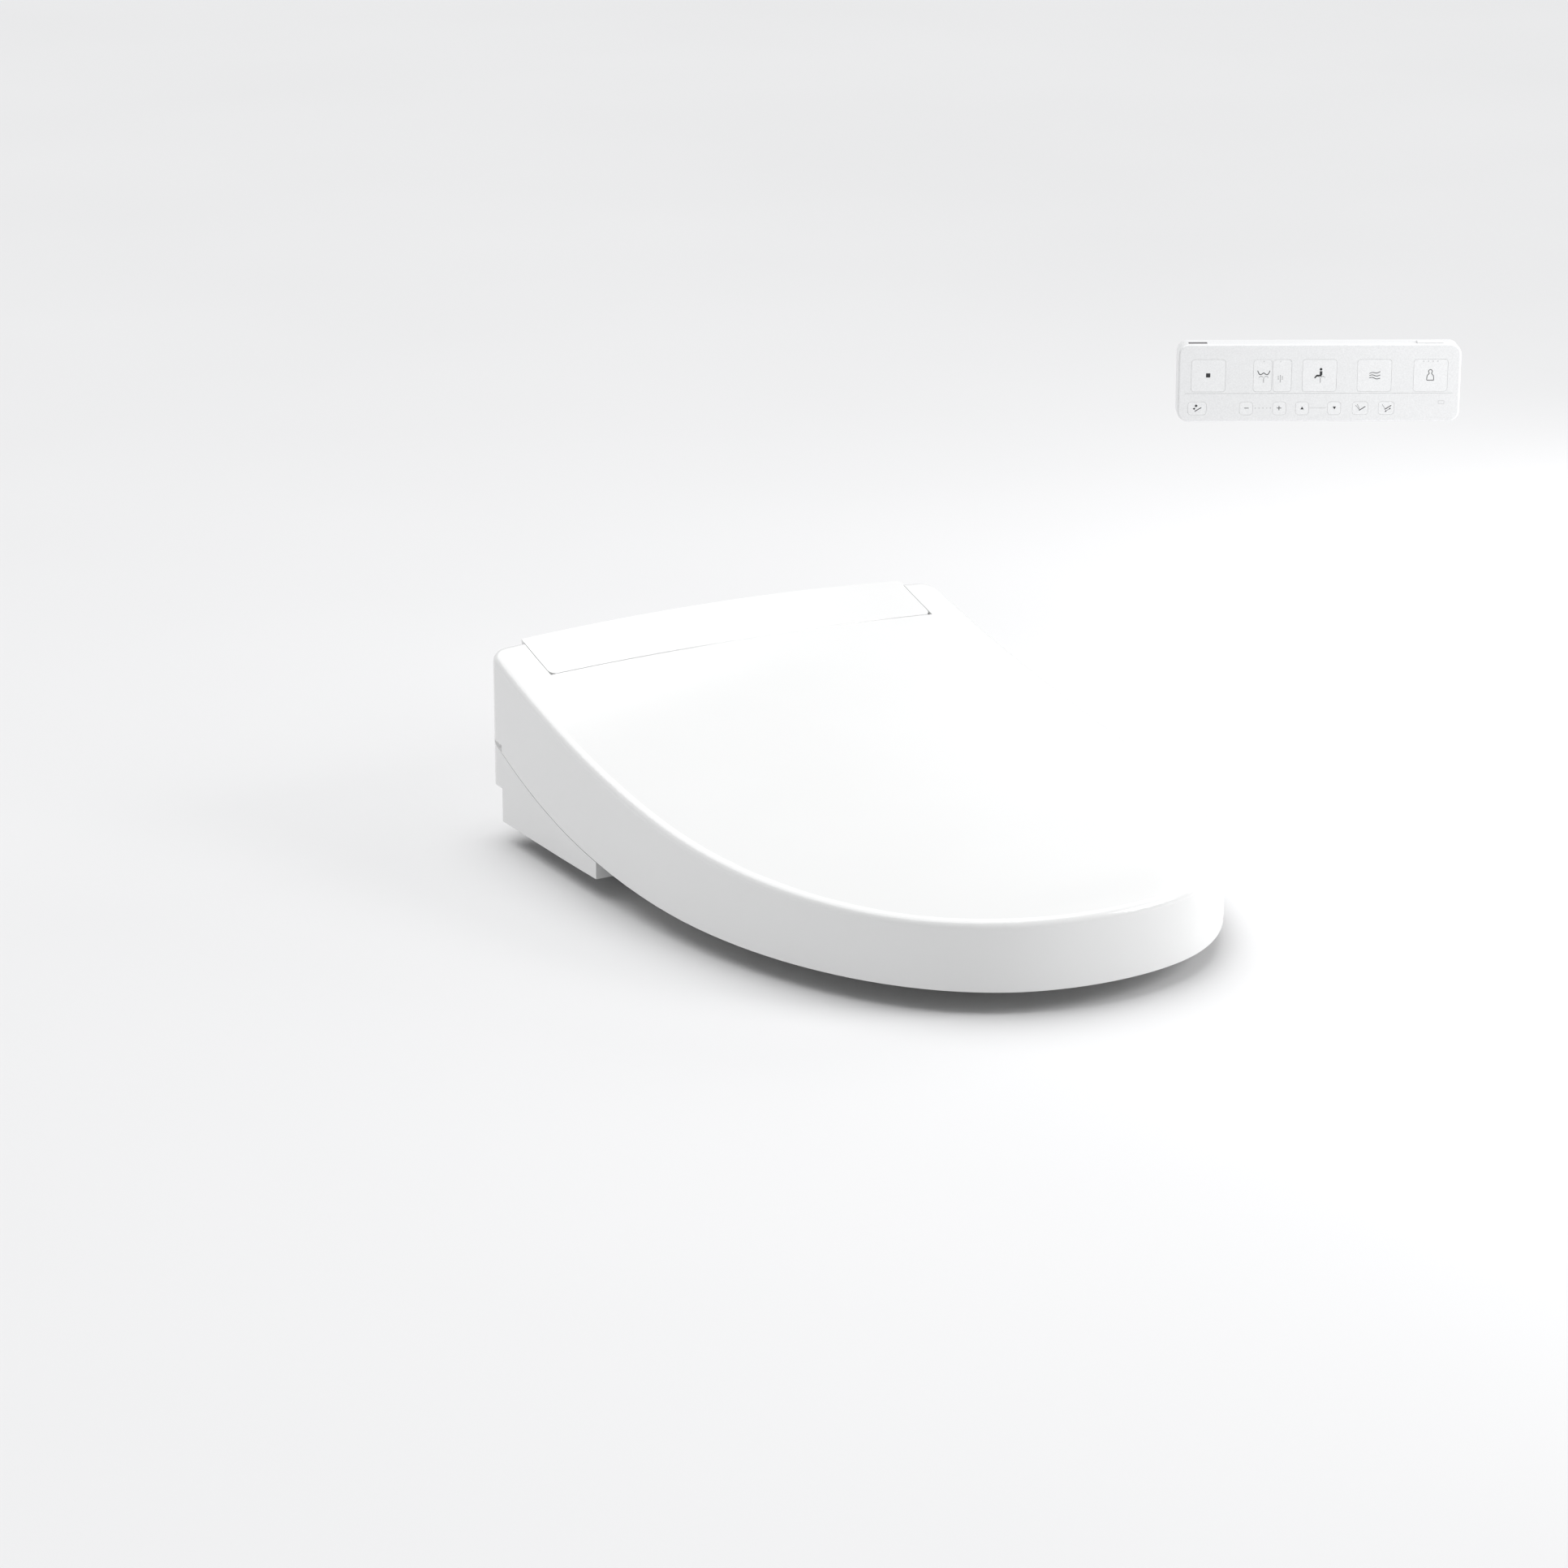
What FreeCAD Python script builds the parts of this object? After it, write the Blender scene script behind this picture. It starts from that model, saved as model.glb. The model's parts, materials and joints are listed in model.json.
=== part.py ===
"""Electric bidet seat: docking plate, main unit, seat ring, lid, wand and wall remote.

Millimetres, +Z up, -Y towards the front of the toilet. z = 0 is the plane of the bowl rim and the
origin lies midway between the two mounting bolts.
"""
import FreeCAD, Part
import math
import os
import Sketcher
from FreeCAD import Vector

doc = FreeCAD.newDocument("bidet_seat")
dims = doc.addObject("Spreadsheet::Sheet", "dims")

DIMENSIONS = {
    # outline seen from above
    "unit_rear": 60, "lid_reach": 470, "half_width": 194, "rear_narrowing": 5,
    "widest_back": 150, "nose_power": 2.3, "rear_corner": 14,
    # height of the lid's upper edge, of its skirt's lower edge and of its crown
    "edge_front": 48.5, "edge_rise": 77.5, "edge_power": 2.2,
    "skirt_front": 3, "skirt_rise": 61, "skirt_power": 4.2,
    "crown_front": 3, "crown_rise": 6, "crown_power": 10,
    "lid_wall": 3, "lid_edge_radius": 6, "seam": 0.6,
    # shared hinge line of lid and seat
    "hinge_y": 38, "hinge_z": 108, "hinge_pin_radius": 4, "hinge_play": 0.06,
    "lid_edge_sweep": 25.2, "cover_sweep": 24.4, "ear_sweep": 48.5, "ear_inside": 161.2,
    "hinge_pin_inner": 140, "hinge_pin_outer": 176, "hinge_boss_radius": 8,
    # main unit
    "case_half": 160.4, "case_front": 48, "case_wall": 2.5, "cover_front": 14, "cover_thick": 2.5,
    "cover_corner": 6, "tray_front": 112, "tray_bottom": 2, "tray_floor": 10.5, "bay_floor": 4.5,
    "notch_depth": 22, "notch_height": 27,
    # seat ring
    "seat_inset": 8, "seat_rear": 50, "seat_low": 12, "seat_low_rise": 17, "seat_high": 38.5,
    "seat_high_rise": 28.5, "seat_wall": 3, "seat_edge_radius": 5, "seat_corner": 20,
    "hole_centre": 262, "hole_half_width": 105,
    "hole_half_length": 135, "hole_power": 2.2, "seat_arm_inner": 167, "seat_arm_thick": 7,
    "bumper_radius": 9, "bumper_height": 11.9,
    # docking plate
    "plate_wide": 172, "plate_deep": 78, "plate_thick": 4, "flange_wide": 192, "flange_thick": 3,
    "bolt_spacing": 140, "slot_half": 4.25, "slot_length": 22, "pad_thick": 1.2,
    # wand and its drive, in the wand's own direction
    "wand_angle": 24, "wand_tip_y": -111, "wand_tip_z": -2, "wand_radius": 8, "wand_length": 180,
    "rack_start": 86, "rack_width": 6, "tooth_module": 1, "pinion_teeth": 16, "pinion_width": 6,
    "rack_pitch_height": 9, "tunnel_radius": 11, "tunnel_wall": 2, "motor_radius": 10,
    "motor_length": 22,
    # water and air
    "inlet_x": 174.6, "inlet_y": 12, "inlet_radius": 10.48, "inlet_length": 15,
    "impeller_radius": 22, "impeller_height": 18, "fan_x": 86, "fan_y": -6,
    "outlet_wide": 40, "outlet_high": 5.4, "outlet_x": 86,
    "filter_x": -95, "filter_wide": 50, "filter_deep": 45, "filter_high": 5,
    # wall remote, about its own centre
    "remote_x": 488, "remote_y": -20, "remote_z": 262, "remote_turn": -30,
    "remote_wide": 216, "remote_high": 60, "remote_deep": 20, "remote_corner": 8,
    "remote_wall": 1.8, "key_gap": 0.12, "key_thick": 1.6, "board_thick": 1.2,
    "battery_radius": 5.2, "battery_length": 44.5,
}
for row, (alias, value) in enumerate(DIMENSIONS.items(), start=1):
    dims.set(f"A{row}", alias)
    dims.set(f"B{row}", str(value))
    dims.setAlias(f"B{row}", alias)
doc.recompute()

X_AXIS = Vector(1, 0, 0)
Y_AXIS = Vector(0, 1, 0)
Z_AXIS = Vector(0, 0, 1)
FAR = 260.0
SIDES = (-1, 1)
nodes = []


def size(alias):
    """Value of one cell of the sheet."""
    return float(getattr(dims, alias))


def publish(name, thing):
    """Keep an object as a finished sub-part."""
    thing.Label = name
    nodes.append(thing)
    return thing


def feature(name, shape, placement=None):
    """Sub-part whose shape comes from surfaces that no primitive or sketch gives."""
    thing = doc.addObject("Part::Feature", name)
    thing.Shape = shape
    if placement is not None:
        thing.Placement = placement
    return publish(name, thing)


# ---------------------------------------------------------------- primitives bound to the sheet
count = 0


def bind(thing, prop, value):
    """Bind a property to an expression of sheet cells, written as alias words."""
    text = str(value)
    for alias in sorted(DIMENSIONS, key=len, reverse=True):
        text = replace_word(text, alias)
    thing.setExpression(prop, text)


def replace_word(text, alias):
    """Prefix one alias with the sheet's name where it stands alone."""
    words = []
    word = ""
    for letter in text + " ":
        if letter.isalnum() or letter in "_.":
            word += letter
        else:
            words.append("dims." + word if word == alias else word)
            words.append(letter)
            word = ""
    return "".join(words).strip()


def place(thing, at, rotation=None):
    """Put a primitive at three expressions."""
    if rotation is not None:
        thing.Placement = FreeCAD.Placement(Vector(), rotation)
    for axis, value in zip("xyz", at):
        bind(thing, f"Placement.Base.{axis}", value)
    return thing


def number(kind):
    """New document object of a Part kind with a running name."""
    global count
    count += 1
    return doc.addObject(kind, f"{kind.split('::')[1].lower()}_{count}")


def box(wide, deep, high, at):
    """Box centred on x, starting at y and z of its lower front edge."""
    thing = number("Part::Box")
    for prop, value in (("Length", wide), ("Width", deep), ("Height", high)):
        bind(thing, prop, value)
    x, y, z = at
    return place(thing, (f"({x}) - ({wide}) / 2", y, z))


TURNS = {
    "x": FreeCAD.Rotation(Y_AXIS, 90),
    "-x": FreeCAD.Rotation(Y_AXIS, -90),
    "y": FreeCAD.Rotation(X_AXIS, -90),
    "z": FreeCAD.Rotation(),
}


def rod(radius, length, at, along="z"):
    """Cylinder that starts at a point and runs along an axis."""
    thing = number("Part::Cylinder")
    bind(thing, "Radius", radius)
    bind(thing, "Height", length)
    return place(thing, at, TURNS[along])


def fuse(*things):
    """Union of several objects."""
    thing = number("Part::MultiFuse")
    thing.Shapes = list(things)
    return thing


def group(*things):
    """Separate identical pieces kept together."""
    thing = number("Part::Compound")
    thing.Links = list(things)
    return thing


def cut(base, *tools):
    """Base less its tools."""
    thing = number("Part::Cut")
    thing.Base = base
    thing.Tool = tools[0] if len(tools) == 1 else fuse(*tools)
    return thing


def rounded(base, radius, along):
    """Base with its straight edges along one direction rounded."""
    doc.recompute()
    thing = number("Part::Fillet")
    thing.Base = base
    edges = []
    for index, edge in enumerate(base.Shape.Edges, start=1):
        start, end = edge.Vertexes[0].Point, edge.Vertexes[-1].Point
        run = end - start
        if run.Length > 1e-6 and abs(abs(run.normalize().dot(along)) - 1) < 1e-6:
            edges.append((index, radius, radius))
    thing.Edges = edges
    return thing


# ---------------------------------------------------------------- curved outlines of lid and seat
def along_unit(y):
    """Share of the whole length at y: 0 at the lid's tip and 1 at the rear."""
    return max((y + size("lid_reach")) / (size("unit_rear") + size("lid_reach")), 0.0)


def lid_edge(y):
    """Height of the lid's upper edge at y."""
    return size("edge_front") + size("edge_rise") * along_unit(y) ** size("edge_power")


def skirt_line(y):
    """Height of the lid skirt's lower edge at y."""
    return size("skirt_front") + size("skirt_rise") * along_unit(y) ** size("skirt_power")


def crown(y):
    """Rise of the lid's middle over its edge at y."""
    return size("crown_front") + size("crown_rise") * along_unit(y) ** size("crown_power")


def seat_underside(y):
    """Height of the seat ring's underside at y."""
    share = max((y + 200.0) / 150.0, 0.0)
    return size("seat_low") + size("seat_low_rise") * share ** 2


def seat_upper(y):
    """Height of the seat ring's upper face at y."""
    length = size("lid_reach") - size("seat_inset") - size("seat_rear")
    share = min(max((y + size("lid_reach") - size("seat_inset")) / length, 0.0), 1.0)
    return size("seat_high") + size("seat_high_rise") * math.sin(math.pi / 2 * share ** 1.8)


def spline(points):
    """Smooth edge through points."""
    curve = Part.BSplineCurve()
    curve.interpolate(points)
    return curve.toShape()


def polygon(points):
    """Closed wire of straight edges."""
    return Part.makePolygon(list(points) + [points[0]])


def superellipse(half_wide, half_long, power, centre_y, turn):
    """Point of a superellipse at an angle, measured from +X towards the front."""
    cosine, sine = math.cos(turn), math.sin(turn)
    x = half_wide * math.copysign(abs(cosine) ** (2 / power), cosine)
    y = centre_y - half_long * abs(sine) ** (2 / power) * math.copysign(1, sine)
    return Vector(x, y, 0)


def outline_face(inset, rear, corner):
    """D-shaped outline, inset all round, closed by a straight rear edge with rounded corners."""
    half = size("half_width") - inset
    back = -size("widest_back")
    nose = size("lid_reach") - size("widest_back") - inset
    rear_half = half - size("rear_narrowing")
    front = [
        superellipse(half, nose, size("nose_power"), back, math.radians(angle))
        for angle in range(0, 181, 12)
    ]
    flank = (2 * back + rear) / 3
    side_half = half - size("rear_narrowing") * ((flank - back) / (rear - back)) ** 2
    points = [Vector(rear_half, rear - corner, 0), Vector(side_half, flank, 0)] + front
    points += [Vector(-side_half, flank, 0), Vector(-rear_half, rear - corner, 0)]
    bend = corner * (1 - math.sqrt(0.5))
    left = Part.Arc(
        points[-1],
        Vector(-rear_half + bend, rear - bend, 0),
        Vector(-rear_half + corner, rear, 0),
    ).toShape()
    right = Part.Arc(
        Vector(rear_half - corner, rear, 0),
        Vector(rear_half - bend, rear - bend, 0),
        points[0],
    ).toShape()
    back_edge = Part.makeLine(Vector(-rear_half + corner, rear, 0), Vector(rear_half - corner, rear, 0))
    return Part.Face(Part.Wire([spline(points), left, back_edge, right]))


def upright(face):
    """Tall prism over a face of the ground plane."""
    prism = face.copy()
    prism.translate(Vector(0, 0, -60))
    return prism.extrude(Vector(0, 0, 240))


def across(face):
    """Prism across the whole width over a face of the middle plane."""
    prism = face.copy()
    prism.translate(Vector(-FAR, 0, 0))
    return prism.extrude(Vector(2 * FAR, 0, 0))


def side_region(height, shift, up):
    """Everything above or below a height line, across the whole width."""
    stations = [-480 + 544 * step / 14 for step in range(15)]
    points = [Vector(0, y, height(y) + shift) for y in stations]
    level = 200 if up else -100
    first, last = points[0], points[-1]
    far_last, far_first = Vector(0, last.y, level), Vector(0, first.y, level)
    edges = [
        spline(points),
        Part.makeLine(last, far_last),
        Part.makeLine(far_last, far_first),
        Part.makeLine(far_first, first),
    ]
    return across(Part.Face(Part.Wire(edges)))


def below_crown(drop):
    """Everything below the lid's crowned top, lowered by a drop."""
    sections = []
    for y in (-482, -420, -340, -260, -180, -100, -40, 0, 30, 64):
        edge = lid_edge(y) - drop
        left, right = Vector(-210, y, edge), Vector(210, y, edge)
        low_right, low_left = Vector(210, y, -70), Vector(-210, y, -70)
        top = Part.Arc(left, Vector(0, y, edge + crown(y)), right).toShape()
        sections.append(Part.Wire([
            top,
            Part.makeLine(right, low_right),
            Part.makeLine(low_right, low_left),
            Part.makeLine(low_left, left),
        ]))
    return Part.makeLoft(sections, True, False)


def block(x_low, x_high, y_low, y_high, z_low, z_high):
    """Plain box between limits."""
    corner = Vector(x_low, y_low, z_low)
    return Part.makeBox(x_high - x_low, y_high - y_low, z_high - z_low, corner)


def hinge_rod(radius, x_low, x_high):
    """Cylinder on the hinge line between two x positions."""
    at = Vector(x_low, size("hinge_y"), size("hinge_z"))
    return Part.makeCylinder(radius, x_high - x_low, at, X_AXIS)


def mirrored(shape):
    """Shape together with its mirror image across the middle plane."""
    return [shape, shape.mirror(Vector(), X_AXIS)]


def edges_along(solid, height, near, shortest):
    """Edges whose ends lie near a height line, less the short ones."""
    return [
        edge for edge in solid.Edges
        if edge.Length > shortest and all(abs(end.Z - height(end.Y)) < near for end in edge.Vertexes)
    ]


REAR = size("unit_rear")
EAR = size("ear_inside")
HINGE_Y, HINGE_Z = size("hinge_y"), size("hinge_z")
PIN_RADIUS = size("hinge_pin_radius")
BORE_RADIUS = PIN_RADIUS + size("hinge_play")

# ---------------------------------------------------------------- lid
lid_wall = size("lid_wall")
outer_plan = upright(outline_face(0, REAR, size("rear_corner")))
inner_plan = upright(outline_face(lid_wall, REAR - lid_wall, size("rear_corner") - lid_wall))
lid_blank = outer_plan.common(below_crown(0)).common(side_region(skirt_line, 0, True))
lid_blank = lid_blank.makeFillet(size("lid_edge_radius"), edges_along(lid_blank, lid_edge, 12, 15))
lid_shape = lid_blank.cut(inner_plan.common(below_crown(lid_wall)))
cheek = block(EAR, EAR + 3, 6, REAR, 0, 150).common(lid_blank)
boss = hinge_rod(size("hinge_boss_radius"), EAR, EAR + 4.8)
lid_shape = lid_shape.fuse(mirrored(cheek) + mirrored(boss))
swing_room = block(EAR - 2, FAR, HINGE_Y, REAR + 5, -10, HINGE_Z)
swing_room = swing_room.cut(hinge_rod(size("ear_sweep"), EAR - 3, FAR + 1))
arm_exit = block(EAR + 3, size("half_width") - size("rear_narrowing") - lid_wall, 40, REAR + 5, 0, 96)
cut_out = block(-EAR, EAR, size("cover_front"), REAR + 5, 0, 200)
edge_sweep = hinge_rod(size("lid_edge_sweep"), -EAR, EAR)
pin_bore = hinge_rod(BORE_RADIUS, -FAR, FAR).common(block(-EAR - 10, EAR + 10, -50, 90, 0, 200))
lid_shape = lid_shape.cut([cut_out, edge_sweep, pin_bore] + mirrored(swing_room) + mirrored(arm_exit))
feature("lid_shell", lid_shape.removeSplitter())

# soft buffers that the closed lid rests on, just above the seat ring
bumpers = []
for x, y in ((70, -400), (150, -230)):
    for side in SIDES:
        foot = seat_upper(y) + 1.2
        bumpers.append(Part.makeCylinder(6, 60, Vector(side * x, y, foot)).common(below_crown(lid_wall)))
feature("lid_bumpers", Part.makeCompound(bumpers))

# ---------------------------------------------------------------- seat ring
seat_inset = size("seat_inset")
seat_rear = -size("seat_rear")


def hole_edge(inset, first, last):
    """Part of the opening's oval edge between two angles, widened by an inset."""
    half_wide, half_long = size("hole_half_width") + inset, size("hole_half_length") + inset
    return spline([
        superellipse(half_wide, half_long, size("hole_power"), -size("hole_centre"), math.radians(angle))
        for angle in range(first, last + 1, 15)
    ])


def ring(inset, drop):
    """Seat ring shrunk by an inset on every side and by a drop at top and bottom."""
    plan = upright(outline_face(seat_inset + inset, seat_rear - inset, size("seat_corner") - inset))
    sides = [hole_edge(inset, -90, 90), hole_edge(inset, 90, 270)]
    hole = upright(Part.Face(Part.Wire(sides)))
    solid = plan.cut(hole).common(side_region(seat_underside, drop, True))
    return solid.common(side_region(seat_upper, -drop, False))


seat_wall = size("seat_wall")
ring_solid = ring(0, 0)
ring_solid = ring_solid.makeFillet(size("seat_edge_radius"), edges_along(ring_solid, seat_upper, 0.6, 60))
ring_cavity = ring(seat_wall, seat_wall)
channel = block(-17, 17, -140, seat_rear + 5, 0, 47)


def seat_split(y):
    """Height at which the ring's two halves meet."""
    return seat_underside(y) + 9


seat_halves = ring_solid.cut([ring_cavity, channel])
channel_walls = block(-20, 20, -140, seat_rear, 0, 50).cut(block(-17, 17, -141, seat_rear + 1, -1, 47))
channel_walls = channel_walls.common(ring_solid)
seat_halves = seat_halves.fuse(channel_walls)
seat_top = seat_halves.common(side_region(seat_split, 0.1, True))
seat_base = seat_halves.common(side_region(seat_split, -0.1, False))

arm_inner = size("seat_arm_inner")
arm_outer = arm_inner + size("seat_arm_thick")
boss_radius = size("hinge_boss_radius")
arm_side = polygon([
    Vector(0, seat_rear - 14, seat_underside(seat_rear) + 16),
    Vector(0, seat_rear - 14, seat_upper(seat_rear) - 2),
    Vector(0, HINGE_Y - boss_radius * 0.7, HINGE_Z + boss_radius * 0.7),
    Vector(0, HINGE_Y + boss_radius * 0.7, HINGE_Z - boss_radius * 0.7),
])
arm = Part.Face(arm_side).extrude(Vector(arm_outer - arm_inner, 0, 0))
arm.translate(Vector(arm_inner, 0, 0))
arm = arm.fuse(hinge_rod(boss_radius, arm_inner, arm_outer))
arm = arm.cut(hinge_rod(BORE_RADIUS, arm_inner - 1, arm_outer + 1))
arm_root = block(arm_inner - 6, arm_outer + 4, seat_rear - 14, seat_rear, 0, 100).common(ring_solid)
arm_root = arm_root.common(side_region(seat_split, 0.1, True))
seat_top = seat_top.fuse(mirrored(arm) + mirrored(arm_root)).removeSplitter()
feature("seat_top", seat_top)
feature("seat_base", seat_base.removeSplitter())

heater = ring(seat_wall + 3, 0)
heater = heater.common(side_region(seat_upper, -seat_wall - 0.2, False))
heater = heater.common(side_region(seat_upper, -seat_wall - 0.7, True))
root_room = block(arm_inner - 8, FAR, seat_rear - 16, 0, 0, 90)
heater = heater.cut(mirrored(root_room) + [block(-24, 24, -150, 0, 0, 90)])
feature("seat_heater", heater)

seat_bumpers = []
for x, y in ((75, -408), (150, -250)):
    for side in SIDES:
        height = size("bumper_height")
        at = Vector(side * x, y, 0)
        pad = Part.makeCylinder(size("bumper_radius"), height, at)
        seat_bumpers.append(pad.makeFillet(2, [pad.Edges[2]]))
feature("seat_bumpers", Part.makeCompound(seat_bumpers))

# ---------------------------------------------------------------- wand, in its own direction
WAND = FreeCAD.Placement(
    Vector(0, size("wand_tip_y"), size("wand_tip_z")),
    FreeCAD.Rotation(X_AXIS, size("wand_angle")),
)
MODULE = size("tooth_module")
PITCH = math.pi * MODULE
TEETH = int(size("pinion_teeth"))
PINION_S = 91.0
pinion_z = size("rack_pitch_height") + MODULE * TEETH / 2


def wand_rod(radius, start, length):
    """Cylinder along the wand from a distance behind its tip."""
    return Part.makeCylinder(radius, length, Vector(0, start, 0), Y_AXIS)


def rack_teeth(first, last):
    """Outline of the rack's toothed bar, standing on the wand's top."""
    pitch_z = size("rack_pitch_height")
    points = [Vector(0, first, 4), Vector(0, first, pitch_z - 1.2 * MODULE)]
    tooth = PINION_S - PITCH * int((PINION_S - first - 2) / PITCH)
    while tooth < last - 1.5:
        points += [
            Vector(0, tooth - 1.05 * MODULE, pitch_z - 1.2 * MODULE),
            Vector(0, tooth - 0.35 * MODULE, pitch_z + 0.9 * MODULE),
            Vector(0, tooth + 0.35 * MODULE, pitch_z + 0.9 * MODULE),
            Vector(0, tooth + 1.05 * MODULE, pitch_z - 1.2 * MODULE),
        ]
        tooth += PITCH
    points += [Vector(0, last, pitch_z - 1.2 * MODULE), Vector(0, last, 4)]
    return Part.Face(polygon(points))


def gear_outline():
    """Straight-flanked pinion outline with a gap facing the rack."""
    radius = MODULE * TEETH / 2
    points = []
    for tooth in range(TEETH):
        middle = -math.pi / 2 + (tooth + 0.5) * 2 * math.pi / TEETH
        for reach, spread in ((-1.2, -1.1), (0.9, -0.32), (0.9, 0.32), (-1.2, 1.1)):
            turn = middle + spread / radius
            points.append(Vector(
                0, PINION_S + (radius + reach) * math.cos(turn), pinion_z + (radius + reach) * math.sin(turn)
            ))
    return Part.Face(polygon(points))


wand_length = size("wand_length")
wand_radius = size("wand_radius")
rack_half = size("rack_width") / 2
rack = rack_teeth(size("rack_start"), wand_length).extrude(Vector(2 * rack_half, 0, 0))
rack.translate(Vector(-rack_half, 0, 0))
tube = wand_rod(wand_radius, 14, wand_length - 14).fuse(rack)
tube = tube.cut(wand_rod(wand_radius - 2.5, 13, wand_length - 20))
feature("wand_tube", tube, WAND)

tip = wand_rod(wand_radius, 0, 13.9)
tip = tip.makeFillet(1.5, [edge for edge in tip.Edges if edge.CenterOfMass.y < 0.1 and edge.Length > 20])
jets = [
    Part.makeCylinder(0.6, 4, Vector(x, y, wand_radius - 3))
    for x in (-2, 0, 2) for y in (5, 8)
]
feature("nozzle_tip", tip.cut(jets), WAND)

pinion_width = size("pinion_width")
pinion = gear_outline().extrude(Vector(pinion_width, 0, 0))
pinion.translate(Vector(-pinion_width / 2, 0, 0))
shaft_end = 7.5
shaft = Part.makeCylinder(1.5, shaft_end - 2, Vector(2, PINION_S, pinion_z), X_AXIS)
feature("drive_pinion", pinion.fuse(shaft), WAND)

motor = Part.makeCylinder(
    size("motor_radius"), size("motor_length"), Vector(shaft_end + 0.5, PINION_S, pinion_z), X_AXIS
)
feature("nozzle_motor", motor, WAND)

cradle = block(-13, 13, 76, 176, -13, -1).cut(wand_rod(wand_radius + 0.3, 70, 120))
feature("nozzle_guide", cradle, WAND)

# ---------------------------------------------------------------- lower case
case_half = size("case_half")
case_wall = size("case_wall")
tray_front = -size("tray_front")
tray_bottom = size("tray_bottom")
tray_floor = size("tray_floor")
notch_y = REAR - size("notch_depth")
notch_top = size("notch_height")
TRAY_IN = 157.4
SEAM = size("seam")

tray = outer_plan.common(block(-FAR, FAR, tray_front, REAR, tray_bottom, 200))
tray = tray.common(side_region(skirt_line, -SEAM, False))
tray = tray.cut(block(-FAR, FAR, notch_y, REAR + 1, -10, notch_top))
cavity_front = tray_front + case_wall
tray_rooms = [
    block(-TRAY_IN, TRAY_IN, cavity_front, notch_y - case_wall, tray_floor, 200),
    block(-TRAY_IN, TRAY_IN, cavity_front, -52.5, size("bay_floor"), 200),
    block(-TRAY_IN, TRAY_IN, notch_y - 3, REAR - case_wall, notch_top + case_wall, 200),
    block(-104, 104, -50, notch_y + 1, -1, 8),
]
arm_plan = upright(outline_face(case_wall, REAR - case_wall, size("rear_corner") - case_wall))
arm_room = arm_plan.common(block(TRAY_IN + 4, FAR, cavity_front, notch_y - case_wall, -10, 200))
arm_room = arm_room.common(side_region(skirt_line, -SEAM - case_wall, False))
rail = block(87, 104.5, -50, notch_y, 0.8, 3.4).cut(block(80, 87, -60, 60, 0, 9))
chute = block(-14, 14, tray_front, -78, -11, 12)


def in_row(shape):
    """Shape drawn along the wand, turned into the part's frame."""
    turned = shape.copy()
    turned.Placement = WAND.multiply(turned.Placement)
    return turned


tunnel_radius = size("tunnel_radius")
wand_bore = in_row(wand_rod(tunnel_radius, -20, 110))
outlet_wide, outlet_high = size("outlet_wide"), size("outlet_high")
outlet_x = size("outlet_x")
outlet = block(
    outlet_x - outlet_wide / 2 - 0.5, outlet_x + outlet_wide / 2 + 0.5, tray_front - 1, cavity_front + 1,
    size("bay_floor") + 0.1, size("bay_floor") + outlet_high + 1.6,
)
filter_x, filter_wide = size("filter_x"), size("filter_wide")
filter_slot = block(
    filter_x - filter_wide / 2 - 0.5, filter_x + filter_wide / 2 + 0.5, tray_front - 1, cavity_front + 1,
    size("bay_floor") + 0.2, size("bay_floor") + size("filter_high") + 1.2,
)
inlet_x, inlet_y = size("inlet_x"), size("inlet_y")
button_y, button_z, button_radius = -25.0, 17.0, 7.0
button_hole = Part.makeCylinder(button_radius + 0.3, 60, Vector(175, button_y, button_z), X_AXIS)
SCREWS = [(side * 153.2, y) for side in SIDES for y in (22.0, -30.0)]
screw_holes = []
for x, y in SCREWS:
    screw_holes.append(Part.makeCylinder(2.2, 30, Vector(x, y, -10)))
    screw_holes.append(Part.makeCylinder(4.2, 16, Vector(x, y, -10)))
gland_hole = Part.makeCylinder(6.2, 12, Vector(112, 49, notch_top - 4))
inlet_shelf = block(TRAY_IN + 3, size("half_width") - 5, inlet_y - 13, inlet_y + 13, 22.2, 25)
inlet_shelf = inlet_shelf.cut(Part.makeCylinder(5.2, 20, Vector(inlet_x, inlet_y, 15)))
hose_hole = Part.makeCylinder(2.8, 16, Vector(150, inlet_y, 38), X_AXIS)
tray = tray.cut(tray_rooms + mirrored(arm_room)).fuse(mirrored(rail) + [chute, inlet_shelf])
lower_case = tray.cut([wand_bore, outlet, filter_slot, button_hole, gland_hole, hose_hole] + screw_holes)
feature("lower_case", lower_case.removeSplitter())

# ---------------------------------------------------------------- upper case and top cover
case_front = -size("case_front")
cover_thick = size("cover_thick")
STEP_Y = 16.0
UNDER_COVER = 0.4
UNDER_LID = 2.0


def case_blank(inset):
    """Upper case outline, shrunk by an inset, open towards the tray."""
    rear_part = block(
        inset - case_half, case_half - inset, STEP_Y + inset, REAR - 0.6 - inset, -60, 200,
    ).common(below_crown(cover_thick + UNDER_COVER + inset))
    front_part = block(
        inset - case_half, case_half - inset, case_front + inset, STEP_Y + 1 + 2 * inset, -60, 200,
    ).common(below_crown(lid_wall + UNDER_LID + inset)).common(side_region(seat_clearance, -inset, False))
    return rear_part.fuse(front_part)


def seat_clearance(y):
    """Height under which the case stays so that seat and lid swing past it."""
    return 66 + 0.62 * (y - case_front) if y < 40 else 66 + 0.62 * (40 - case_front)


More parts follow.
